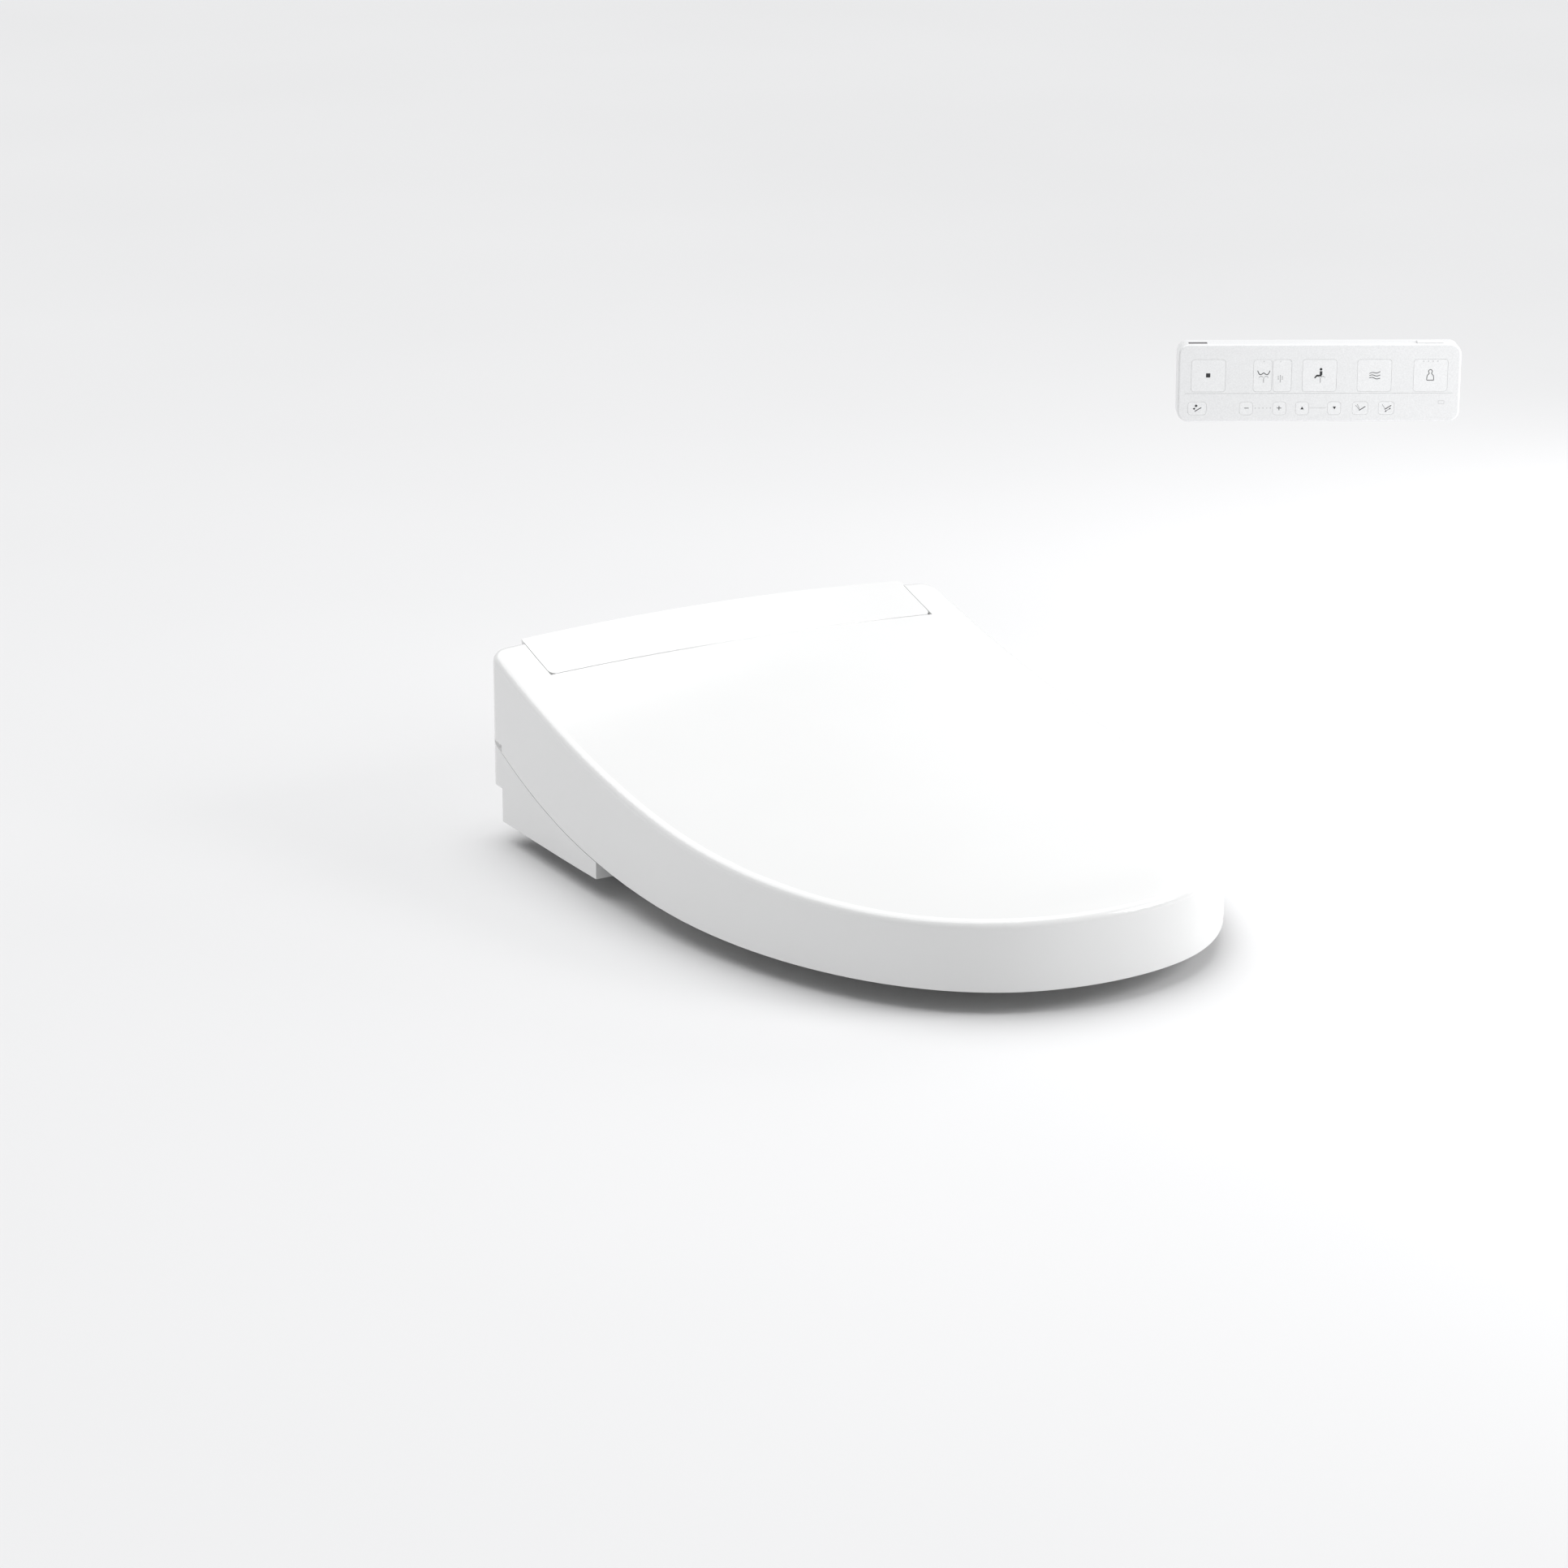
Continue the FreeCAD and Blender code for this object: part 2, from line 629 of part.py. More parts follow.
upper_case = case_blank(0).cut(case_blank(case_wall)).common(side_region(skirt_line, -SEAM + 0.15, True))
bay_cover = block(-156.9, 156.9, cavity_front + 0.3, case_front + 2, 0, 90)
bay_cover = bay_cover.common(side_region(skirt_line, -SEAM, False))
bay_cover = bay_cover.common(side_region(skirt_line, -SEAM - case_wall, True))
tunnel = in_row(wand_rod(tunnel_radius + size("tunnel_wall"), -5, 90))
tunnel = tunnel.common(block(-30, 30, cavity_front + 0.3, case_front + 2, 0, 90))
tunnel = tunnel.common(side_region(skirt_line, -SEAM - case_wall, True))
bosses = []
for x, y in SCREWS:
    bosses.append(Part.makeCylinder(4, 120, Vector(x, y, tray_floor + 0.2)).common(case_blank(1)))
pin_seat = hinge_rod(6.5, size("hinge_pin_inner"), case_half - 1)
pin_seat_bore = hinge_rod(PIN_RADIUS + 0.01, size("hinge_pin_inner") - 1, case_half + 1)
upper_case = upper_case.fuse([bay_cover, tunnel] + bosses + mirrored(pin_seat))
screw_cores = [Part.makeCylinder(1.98, 30, Vector(x, y, tray_floor - 5)) for x, y in SCREWS]
upper_case = upper_case.cut([wand_bore] + mirrored(pin_seat_bore) + screw_cores)
feature("upper_case", upper_case.removeSplitter())

cover_front = size("cover_front")
cover_half = EAR - SEAM
plate = block(-cover_half, cover_half, cover_front, REAR - SEAM, 60, 170)
corner_edges = [
    edge for edge in plate.Edges
    if edge.BoundBox.ZLength > 100 and edge.BoundBox.YMax < cover_front + 1
]
plate = plate.makeFillet(size("cover_corner"), corner_edges)
top_cover = plate.common(below_crown(0)).cut(below_crown(cover_thick))
nose = block(-FAR, FAR, cover_front - 1, cover_front + 6, 0, 200).cut(hinge_rod(size("cover_sweep"), -FAR, FAR))
feature("top_cover", top_cover.cut(nose).removeSplitter())

pin_inner, pin_outer = size("hinge_pin_inner"), size("hinge_pin_outer")
feature("hinge_pins", Part.makeCompound(mirrored(hinge_rod(PIN_RADIUS, pin_inner, pin_outer))))
feature("hinge_dampers", Part.makeCompound(mirrored(hinge_rod(7.5, 96, pin_inner - 1))))


# ---------------------------------------------------------------- inside the main unit
screws = [fuse(rod(1.9, 17, (x, y, 5.8)), rod(3.8, 2.5, (x, y, 3.4))) for x, y in SCREWS]
publish("case_screws", group(*screws))

inlet = fuse(
    rod("inlet_radius", "inlet_length", ("inlet_x", "inlet_y", 4)),
    rod(11.6, 3, ("inlet_x", "inlet_y", "4 + inlet_length")),
    rod(5, 10, ("inlet_x", "inlet_y", "7 + inlet_length")),
)
publish("inlet_fitting", cut(inlet, rod(4, 40, ("inlet_x", "inlet_y", 0))))
publish("solenoid_valve", fuse(
    box(24, 24, 22, (133, 28, 31)),
    rod(8, 18, (133, 40, 53)),
))
publish("heater_tank", rounded(box(74, 29, 46, (-110, 23, 31)), 6, X_AXIS))
publish("air_pump", fuse(
    rod(15, 38, (-62, -10, 32), "x"),
    box(30, 32, 8, (-43, -26, 11)),
))
publish("dryer_heater", cut(
    box("outlet_wide - 4", 14, 4.6, ("outlet_x", -86, "bay_floor + 1.1")),
    box("outlet_wide - 8", 16, 2.6, ("outlet_x", -87, "bay_floor + 2.1")),
))
publish("power_gland", cut(
    fuse(rod(6, 9, (112, 49, "notch_height - 4")), rod(8, 3, (112, 49, "notch_height + case_wall"))),
    rod(3.6, 20, (112, 49, "notch_height - 6")),
))
publish("power_board", fuse(
    box(86, 1.6, 44, (66, 54, 33)),
    box(30, 18.4, 24, (52, 35.8, 42)),
    rod(6, 18, (92, 48.2, 46)),
))
publish("control_board", fuse(
    box(150, 50, 1.6, (0, 4, 86)),
    box(14, 14, 2.4, (-30, 12, 87.4)),
    box(24, 8, 5, (38, 30, 87.4)),
    box(10, 22, 4, (-58, 16, 87.4)),
))

fan_x, fan_y = size("fan_x"), size("fan_y")
impeller_radius, impeller_height = size("impeller_radius"), size("impeller_height")
fan_floor = tray_floor + 0.6
fan_shell = Part.makeCylinder(impeller_radius + 4, impeller_height + 5, Vector(fan_x, fan_y, fan_floor))
duct_left = outlet_x - (outlet_wide - 0.4) / 2
duct_right = outlet_x + (outlet_wide - 0.4) / 2
duct_floor = size("bay_floor") + 0.3
duct = [
    block(duct_left, duct_right, cavity_front + 0.6, -52.9, duct_floor, duct_floor + outlet_high + 0.9),
    block(duct_left, duct_right, -70, -52.9, duct_floor, 15),
    block(duct_left, duct_right, -54, -46, fan_floor, 15),
    block(duct_left, duct_right, -50, fan_y - 10, fan_floor, fan_floor + 10),
]
fan_housing = fan_shell.fuse(duct)
hollows = [
    Part.makeCylinder(impeller_radius + 2.5, impeller_height + 2, Vector(fan_x, fan_y, fan_floor + 1.5)),
    block(outlet_x - 18, outlet_x + 18, cavity_front, -54, size("bay_floor") + 1, size("bay_floor") + 5.8),
    block(outlet_x - 18, outlet_x + 18, -60, fan_y, fan_floor + 1.5, fan_floor + 3.6),
    block(outlet_x - 18, outlet_x + 18, -48, fan_y, fan_floor + 1.5, fan_floor + 8.5),
    Part.makeCylinder(14, 10, Vector(fan_x, fan_y, fan_floor + impeller_height)),
]
feature("dryer_housing", fan_housing.cut(hollows).removeSplitter())


def impeller(radius, height, blades, at):
    """Fan wheel: disc, hub with an axle hole and curved-back blades."""
    wheel = Part.makeCylinder(radius, 1.2).fuse(Part.makeCylinder(5, height))
    for blade in range(blades):
        vane = Part.makeBox(radius * 0.42, 1, height - 0.5, Vector(radius * 0.55, -0.5, 0.5))
        vane.rotate(Vector(radius * 0.55, 0, 0), Z_AXIS, 28)
        vane.rotate(Vector(), Z_AXIS, 360 * blade / blades)
        wheel = wheel.fuse(vane)
    wheel = wheel.common(Part.makeCylinder(radius, height)).cut(Part.makeCylinder(1.6, height))
    wheel.translate(at)
    return wheel


feature("dryer_impeller", impeller(impeller_radius, impeller_height, 14, Vector(fan_x, fan_y, fan_floor + 2)))

deo_x, deo_y, deo_floor = -100.0, -27.0, tray_floor + 0.6
deo_box = block(deo_x - 17, deo_x + 17, deo_y - 17, deo_y + 17, deo_floor, deo_floor + 15)
deo_room = Part.makeCylinder(14.5, 12, Vector(deo_x, deo_y, deo_floor + 1.5))
deo_mouths = [
    Part.makeCylinder(8, 20, Vector(deo_x, deo_y, deo_floor + 5)),
    block(deo_x - 8, deo_x + 8, deo_y - 18, deo_y - 8, deo_floor + 3, deo_floor + 12),
]
feature("deodorizer_housing", deo_box.cut([deo_room] + deo_mouths))
feature("deodorizer_impeller", impeller(13, 9, 10, Vector(deo_x, deo_y, deo_floor + 2.2)))

cartridge = block(
    filter_x - filter_wide / 2, filter_x + filter_wide / 2, tray_front, tray_front + size("filter_deep"),
    size("bay_floor") + 0.6, size("bay_floor") + 0.6 + size("filter_high"),
)
cells = [
    block(
        filter_x - filter_wide / 2 + 4 + 11 * column, filter_x - filter_wide / 2 + 12 + 11 * column,
        tray_front + 8 + 11 * row, tray_front + 16 + 11 * row, 0, 40,
    )
    for column in range(4) for row in range(3)
]
feature("deodorizer_filter", cartridge.cut(cells))

flap_z = size("bay_floor") + outlet_high + 0.9
flap = block(
    outlet_x - outlet_wide / 2, outlet_x + outlet_wide / 2, tray_front - 1.2, tray_front,
    size("bay_floor") + 0.4, flap_z,
)
feature("dryer_flap", flap.fuse(
    Part.makeCylinder(0.8, outlet_wide, Vector(outlet_x - outlet_wide / 2, tray_front - 0.6, flap_z), X_AXIS)
))

button_face = 192.2
button = Part.makeCylinder(button_radius, 12, Vector(button_face - 12, button_y, button_z), X_AXIS)
button = button.makeFillet(1, [edge for edge in button.Edges if edge.CenterOfMass.x > button_face - 0.1])
button = button.fuse(Part.makeCylinder(3, 14, Vector(button_face - 22, button_y, button_z), X_AXIS))
feature("release_button", button)


def tube_path(points, radius):
    """Round tube along straight runs with an arc of 1.4 tube radii at each bend."""
    bend = 1.4 * radius
    path = []
    start = points[0]
    for before, corner, after in zip(points, points[1:], points[2:]):
        ahead = (corner - before).normalize()
        onward = (after - corner).normalize()
        half_turn = ahead.getAngle(onward) / 2
        reach = bend * math.tan(half_turn)
        inside = (onward - ahead).normalize() * (bend / math.cos(half_turn) - bend)
        path.append(Part.makeLine(start, corner - ahead * reach))
        path.append(Part.Arc(corner - ahead * reach, corner + inside, corner + onward * reach).toShape())
        start = corner + onward * reach
    path.append(Part.makeLine(start, points[-1]))
    section = Part.Wire(Part.makeCircle(radius, points[0], points[1] - points[0]))
    return Part.Wire(path).makePipeShell([section], True, False)


tubes = [
    tube_path([
        Vector(inlet_x, inlet_y, 32.2), Vector(inlet_x, inlet_y, 38), Vector(133, inlet_y, 38),
        Vector(133, 27.8, 38),
    ], 2.5),
    tube_path([Vector(133, 52.2, 36), Vector(133, 54.5, 36), Vector(114, 54.5, 36)], 1.6),
    tube_path([Vector(-110, 22.8, 50), Vector(-110, 12, 50), Vector(-20, 12, 54), Vector(-20, 52, 62)], 2.5),
]
feature("water_tubes", Part.makeCompound(tubes))


# ---------------------------------------------------------------- sketched bodies
def new_body(name):
    """Empty body with a name of its own."""
    return doc.addObject("PartDesign::Body", name)


def plane_of(body, role):
    """One of the body's own origin planes."""
    for item in body.Origin.OriginFeatures:
        if item.Role == role:
            return item
    raise ValueError(role)


def sketch_on(body, name, role, offset):
    """Sketch on an origin plane of the body, lifted along the plane's normal."""
    sketch = body.newObject("Sketcher::SketchObject", name)
    sketch.AttachmentSupport = [(plane_of(body, role), "")]
    sketch.MapMode = "FlatFace"
    bind(sketch, "AttachmentOffset.Base.z", offset)
    return sketch


def rectangle(sketch, wide, high, x=0, y=0):
    """Rectangle of bound size about a point."""
    first = sketch.GeometryCount
    corners = [Vector(x - 1, y - 1, 0), Vector(x + 1, y - 1, 0), Vector(x + 1, y + 1, 0), Vector(x - 1, y + 1, 0)]
    for start, end in zip(corners, corners[1:] + corners[:1]):
        sketch.addGeometry(Part.LineSegment(start, end), False)
    rules = []
    for side in range(4):
        rules.append(Sketcher.Constraint("Coincident", first + side, 2, first + (side + 1) % 4, 1))
    rules += [
        Sketcher.Constraint("Horizontal", first), Sketcher.Constraint("Horizontal", first + 2),
        Sketcher.Constraint("Vertical", first + 1), Sketcher.Constraint("Vertical", first + 3),
    ]
    sketch.addConstraint(rules)
    for kind, value in (("DistanceX", wide), ("DistanceY", high)):
        line = first if kind == "DistanceX" else first + 1
        index = sketch.addConstraint(Sketcher.Constraint(kind, line, 1, line, 2, 2.0))
        bind(sketch, f"Constraints[{index}]", value)
    for kind, value in (("DistanceX", f"({x}) - ({wide}) / 2"), ("DistanceY", f"({y}) - ({high}) / 2")):
        index = sketch.addConstraint(Sketcher.Constraint(kind, -1, 1, first, 1, -1.0))
        bind(sketch, f"Constraints[{index}]", value)


def slot(sketch, half, length, x):
    """Round-ended slot along x about a point on the sketch's own x axis."""
    half_value, length_value = size(half), size(length)
    reach = length_value / 2 - half_value
    first = sketch.GeometryCount
    sketch.addGeometry(Part.LineSegment(Vector(x - reach, half_value, 0), Vector(x + reach, half_value, 0)))
    sketch.addGeometry(Part.LineSegment(Vector(x + reach, -half_value, 0), Vector(x - reach, -half_value, 0)))
    for centre, start, end in ((x + reach, -math.pi / 2, math.pi / 2), (x - reach, math.pi / 2, 1.5 * math.pi)):
        circle = Part.Circle(Vector(centre, 0, 0), Z_AXIS, half_value)
        sketch.addGeometry(Part.ArcOfCircle(circle, start, end))
    sketch.addConstraint([
        Sketcher.Constraint("Horizontal", first),
        Sketcher.Constraint("Tangent", first, 2, first + 2, 2),
        Sketcher.Constraint("Tangent", first + 2, 1, first + 1, 1),
        Sketcher.Constraint("Tangent", first + 1, 2, first + 3, 2),
        Sketcher.Constraint("Tangent", first + 3, 1, first, 1),
    ])
    index = sketch.addConstraint(Sketcher.Constraint("Radius", first + 2, half_value))
    bind(sketch, f"Constraints[{index}]", half)
    index = sketch.addConstraint(Sketcher.Constraint("DistanceX", first, 1, first, 2, 2 * reach))
    bind(sketch, f"Constraints[{index}]", f"{length} - 2 * {half}")
    for kind, item, value in (("DistanceX", first + 3, x - reach), ("DistanceY", first + 3, 0.0)):
        sketch.addConstraint(Sketcher.Constraint(kind, -1, 1, item, 3, value))


def pad(body, name, sketch, length):
    """Pad of a bound length."""
    body.newObject("PartDesign::Pad", name)
    feature_made = body.Group[-1]
    feature_made.Profile = sketch
    bind(feature_made, "Length", length)
    sketch.Visibility = False
    return feature_made


def pocket(body, name, sketch, length, reverse=False):
    """Pocket of a bound length; fails when it removes nothing."""
    doc.recompute()
    before = body.Shape.Volume
    feature_made = body.newObject("PartDesign::Pocket", name)
    feature_made.Profile = sketch
    bind(feature_made, "Length", length)
    feature_made.Reversed = reverse
    doc.recompute()
    if not body.Shape.Volume < before - 1:
        raise RuntimeError(f"{name} cuts nothing")
    return feature_made


# ---------------------------------------------------------------- docking plate
plate_body = new_body("base_plate")
foot_sketch = sketch_on(plate_body, "plate_foot", "XY_Plane", 0)
rectangle(foot_sketch, "plate_wide", "plate_deep", 0, -5)
pad(plate_body, "foot", foot_sketch, "plate_thick")
flange_sketch = sketch_on(plate_body, "plate_flange", "XY_Plane", "plate_thick")
rectangle(flange_sketch, "flange_wide", "plate_deep", 0, -5)
pad(plate_body, "flange", flange_sketch, "flange_thick")
slot_sketch = sketch_on(plate_body, "bolt_slots", "XY_Plane", 0)
for side in SIDES:
    slot(slot_sketch, "slot_half", "slot_length", side * size("bolt_spacing") / 2)
pocket(plate_body, "bolt_slot_cuts", slot_sketch, 20, True)
pad_sketch = sketch_on(plate_body, "pad_recesses", "XY_Plane", 0)
rectangle(pad_sketch, 100, 14, 0, -28)
rectangle(pad_sketch, 100, 14, 0, 20)
pocket(plate_body, "pad_recess_cuts", pad_sketch, "pad_thick", True)
publish("base_plate", plate_body)
publish("base_pads", group(
    box(99.6, 13.6, "pad_thick - 0.1", (0, -34.8, 0)),
    box(99.6, 13.6, "pad_thick - 0.1", (0, 13.2, 0)),
))

# ---------------------------------------------------------------- wall remote, about its own centre
REMOTE = FreeCAD.Placement(
    Vector(size("remote_x"), size("remote_y"), size("remote_z")),
    FreeCAD.Rotation(Z_AXIS, size("remote_turn")),
)
remote_half = size("remote_wide") / 2
remote_tall = size("remote_high") / 2
remote_back = size("remote_deep") / 2
remote_wall = size("remote_wall")
SPLIT_Y = 1.0


def remote_blank(inset):
    """Rounded body of the remote, shrunk by an inset."""
    solid = block(
        inset - remote_half, remote_half - inset, inset - remote_back, remote_back - inset,
        inset - remote_tall, remote_tall - inset,
    )
    corners = [edge for edge in solid.Edges if edge.BoundBox.YLength > 5]
    solid = solid.makeFillet(size("remote_corner") - inset, corners)
    if inset:
        return solid
    rims = [
        edge for edge in solid.Edges
        if edge.BoundBox.YLength < 0.1 and abs(abs(edge.CenterOfMass.y) - remote_back) < 0.01
    ]
    return solid.makeFillet(1.6, rims)


# name: centre x, centre z, width, height
KEYS = {
    "wall_remote_key_stop": (-85, 6, 26, 25),
    "wall_remote_key_rear": (-43.5, 6, 14, 25),
    "wall_remote_key_soft": (-28.5, 6, 14, 25),
    "wall_remote_key_front": (0, 6, 26, 25),
    "wall_remote_key_dryer": (42, 6, 26, 25),
    "wall_remote_key_user": (85, 6, 26, 25),
    "wall_remote_key_clean": (-93, -19.5, 14, 10),
    "wall_remote_key_minus": (-55.5, -19.5, 10, 10),
    "wall_remote_key_plus": (-30, -19.5, 10, 10),
    "wall_remote_key_up": (-12.5, -19.5, 10, 10),
    "wall_remote_key_down": (12, -19.5, 10, 10),
    "wall_remote_key_pulse": (32, -19.5, 12, 10),
    "wall_remote_key_swing": (52, -19.5, 12, 10),
}
key_gap = size("key_gap")
key_thick = size("key_thick")
remote_front_y = -remote_back


def key_block(wide, high, x, z, gap, deep):
    """Rounded key or its hole."""
    solid = block(
        x - wide / 2 - gap, x + wide / 2 + gap, remote_front_y - 1, remote_front_y + deep,
        z - high / 2 - gap, z + high / 2 + gap,
    )
    return solid.makeFillet(2.5 + gap, [edge for edge in solid.Edges if edge.BoundBox.YLength > 1])


remote_shell = remote_blank(0).cut(remote_blank(remote_wall))
key_holes = [
    key_block(wide, high, x, z, key_gap, remote_wall + 2) for x, z, wide, high in KEYS.values()
]
bar_x, bar_wide, bar_deep = 84.5, 20.0, 7.0
bar_hole = block(
    bar_x - bar_wide / 2 - 0.3, bar_x + bar_wide / 2 + 0.3, -6.3, 1.3, remote_tall - 3, remote_tall + 1,
)
window_hole = block(-100.2, -85.8, -5.2, 0.2, remote_tall - 3, remote_tall + 1)
front_half = remote_shell.common(block(-FAR, FAR, -FAR, SPLIT_Y + 0.4, -FAR, FAR))
feature("remote_front", front_half.cut(key_holes + [bar_hole, window_hole]), REMOTE)

door_half, door_top = 48.0, -4.0
door_inner = remote_back - remote_wall
door_hole = block(-door_half - 0.3, door_half + 0.3, door_inner - 0.1, FAR, -FAR, door_top + 0.3)
hook_slots = [block(side * 70 - 7, side * 70 + 7, 5, FAR, -1, 16.2) for side in SIDES]
back_half = remote_shell.common(block(-FAR, FAR, SPLIT_Y + 0.6, FAR, -FAR, FAR))
feature("remote_back", back_half.cut([door_hole] + hook_slots), REMOTE)
door = remote_blank(0).common(
    block(-door_half, door_half, door_inner + 0.1, FAR, -FAR, door_top)
)
grips = [block(-8, 8, remote_back - 0.5, FAR, z, z + 1) for z in (-22, -19, -16)]
feature("battery_door", door.cut(grips), REMOTE)

for name, (x, z, wide, high) in KEYS.items():
    cap = key_block(wide, high, x, z, 0, key_thick).common(block(-FAR, FAR, remote_front_y, FAR, -FAR, FAR))
    stem = Part.makeCylinder(1.5, 3.2, Vector(x, remote_front_y + key_thick - 0.2, z), Y_AXIS)
    feature(name, cap.fuse(stem), REMOTE)

bar = block(bar_x - bar_wide / 2, bar_x + bar_wide / 2, -6, 1, remote_tall - 4, remote_tall + 1.2)
feature("top_button", bar.makeFillet(0.8, [
    edge for edge in bar.Edges if abs(edge.CenterOfMass.z - remote_tall - 1.2) < 0.01
]), REMOTE)
feature("ir_window", block(-100, -86, -5, 0, remote_tall - 1.9, remote_tall), REMOTE)

board = block(-100, 100, -4.6, -4.6 + size("board_thick"), -27, 25)
chip = block(-20, -8, -3.5, -2.2, 8, 20)
feature("remote_board", board.fuse(chip), REMOTE)
battery_radius, battery_length = size("battery_radius"), size("battery_length")
batteries = []
for side in SIDES:
    start = side * 0.6 if side > 0 else -battery_length - 0.6
    at = Vector(start, 2.6, -16)
    cell = Part.makeCylinder(battery_radius, battery_length - 1, at, X_AXIS)
    nub = Part.makeCylinder(1.9, 1, Vector(start + battery_length - 1, 2.6, -16), X_AXIS)
    batteries.append(cell.fuse(nub))
feature("batteries", Part.makeCompound(batteries), REMOTE)
contacts = [block(side * 46 - 0.3, side * 46 + 0.3, -1.4, 6.6, -20, -12) for side in SIDES]
feature("battery_contacts", Part.makeCompound(contacts), REMOTE)

hanger = block(-80, 80, remote_back + 0.4, remote_back + 3.4, -12, 26)
hanger = hanger.makeFillet(5, [edge for edge in hanger.Edges if edge.BoundBox.YLength > 2])
for side in SIDES:
    x = side * 70
    hanger = hanger.fuse([
        block(x - 5, x + 5, 5.9, remote_back + 1, 12, 15.9),
        block(x - 5, x + 5, 5.9, 7.7, 12, 22),
    ])
wall_screw_holes = []
for side in SIDES:
    x = side * 40
    wall_screw_holes.append(Part.makeCylinder(2.25, 10, Vector(x, remote_back, 7), Y_AXIS))
    wall_screw_holes.append(Part.makeCone(4.5, 2.25, 2.2, Vector(x, remote_back + 0.4, 7), Y_AXIS))
feature("wall_hanger", hanger.cut(wall_screw_holes), REMOTE)

# ---------------------------------------------------------------- checks and export
doc.recompute()
for item in doc.Objects:
    if "Invalid" in item.State or "Error" in item.State:
        raise RuntimeError(f"{item.Label} failed: {item.State}")
labels = [item.Label for item in nodes]
if len(set(labels)) != len(labels) or len(labels) > 60:
    raise RuntimeError("sub-part names repeat or are too many")
os.makedirs("parts", exist_ok=True)
for item in nodes:
    shape = item.Shape
    if shape.isNull() or not shape.isValid() or not shape.Solids:
        raise RuntimeError(f"{item.Label} has no valid solid")
    shape.exportStep(f"parts/{item.Label}.step")
print(f"{len(nodes)} sub-parts written")
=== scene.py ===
"""Looks of the electric bidet seat: finishes, printed symbols, the rolled inlet thread and the stage."""
import json
import math

import bpy
import numpy as np
from bpy.props import FloatProperty, FloatVectorProperty, PointerProperty
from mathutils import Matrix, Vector


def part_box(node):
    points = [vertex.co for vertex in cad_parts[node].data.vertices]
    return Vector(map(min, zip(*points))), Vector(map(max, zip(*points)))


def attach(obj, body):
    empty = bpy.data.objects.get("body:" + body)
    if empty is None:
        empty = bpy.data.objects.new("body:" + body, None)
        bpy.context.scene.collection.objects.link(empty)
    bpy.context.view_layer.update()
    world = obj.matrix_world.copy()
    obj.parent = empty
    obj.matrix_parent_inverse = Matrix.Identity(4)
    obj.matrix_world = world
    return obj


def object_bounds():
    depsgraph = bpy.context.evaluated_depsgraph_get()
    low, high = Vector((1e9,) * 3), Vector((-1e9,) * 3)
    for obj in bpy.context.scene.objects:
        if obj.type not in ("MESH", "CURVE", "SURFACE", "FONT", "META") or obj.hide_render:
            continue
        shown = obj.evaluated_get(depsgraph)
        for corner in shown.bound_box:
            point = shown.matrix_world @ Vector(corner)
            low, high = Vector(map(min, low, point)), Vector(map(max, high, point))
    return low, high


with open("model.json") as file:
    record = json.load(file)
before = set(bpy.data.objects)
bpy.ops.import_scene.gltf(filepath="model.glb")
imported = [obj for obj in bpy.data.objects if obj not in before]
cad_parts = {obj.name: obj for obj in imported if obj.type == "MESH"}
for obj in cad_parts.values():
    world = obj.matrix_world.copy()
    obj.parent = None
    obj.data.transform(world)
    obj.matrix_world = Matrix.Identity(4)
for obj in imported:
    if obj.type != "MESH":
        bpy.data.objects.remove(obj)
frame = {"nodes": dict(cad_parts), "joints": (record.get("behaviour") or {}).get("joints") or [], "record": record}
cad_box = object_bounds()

bl_info = {
    "name": "Bidet Seat Looks",
    "version": (1, 0, 0),
    "blender": (4, 5, 0),
    "location": "3D View > Sidebar > Bidet Seat",
    "description": "Finishes, printed symbols, moulded details and the stage of an electric bidet seat",
    "category": "Object",
}

MM = 0.001
PRINT_LIFT = 0.03 * MM
NODES = frame["nodes"]


# ---------------------------------------------------------------- settings
class FinishSettings(bpy.types.PropertyGroup):
    """Colours and gloss of the plastics."""

    shell_colour: FloatVectorProperty(
        name="Shell colour", description="Glossy white of lid, cover and case",
        subtype="COLOR", size=3, min=0, max=1, default=(0.83, 0.832, 0.83),
    )
    seat_colour: FloatVectorProperty(
        name="Seat colour", description="White of the seat ring",
        subtype="COLOR", size=3, min=0, max=1, default=(0.79, 0.79, 0.78),
    )
    remote_colour: FloatVectorProperty(
        name="Remote colour", description="Light grey of the remote's face",
        subtype="COLOR", size=3, min=0, max=1, default=(0.84, 0.845, 0.85),
    )
    print_colour: FloatVectorProperty(
        name="Print colour", description="Grey of the printed symbols",
        subtype="COLOR", size=3, min=0, max=1, default=(0.022, 0.023, 0.026),
    )
    shell_roughness: FloatProperty(
        name="Shell roughness", description="Roughness of the polished shells",
        min=0, max=1, default=0.16, subtype="FACTOR",
    )


class ViewSettings(bpy.types.PropertyGroup):
    """Place of the camera round the seat."""

    azimuth: FloatProperty(
        name="Azimuth", description="Angle round the seat, 0 looks at its front",
        default=math.radians(-30.62), subtype="ANGLE",
    )
    elevation: FloatProperty(
        name="Elevation", description="Angle above the horizon",
        default=math.radians(17.42), subtype="ANGLE",
    )
    distance: FloatProperty(
        name="Distance", description="Distance to the middle of the lid",
        default=3.2627, unit="LENGTH",
    )
    lens: FloatProperty(
        name="Lens", description="Focal length on a 36 mm wide sensor", default=107.42,
        subtype="DISTANCE_CAMERA",
    )
    right_of_middle: FloatProperty(
        name="Right of middle", description="How far the lid's middle stands right of the picture's middle",
        default=0.0809, unit="LENGTH",
    )
    below_middle: FloatProperty(
        name="Below middle", description="How far the lid's middle stands below the picture's middle",
        default=0.0041, unit="LENGTH",
    )


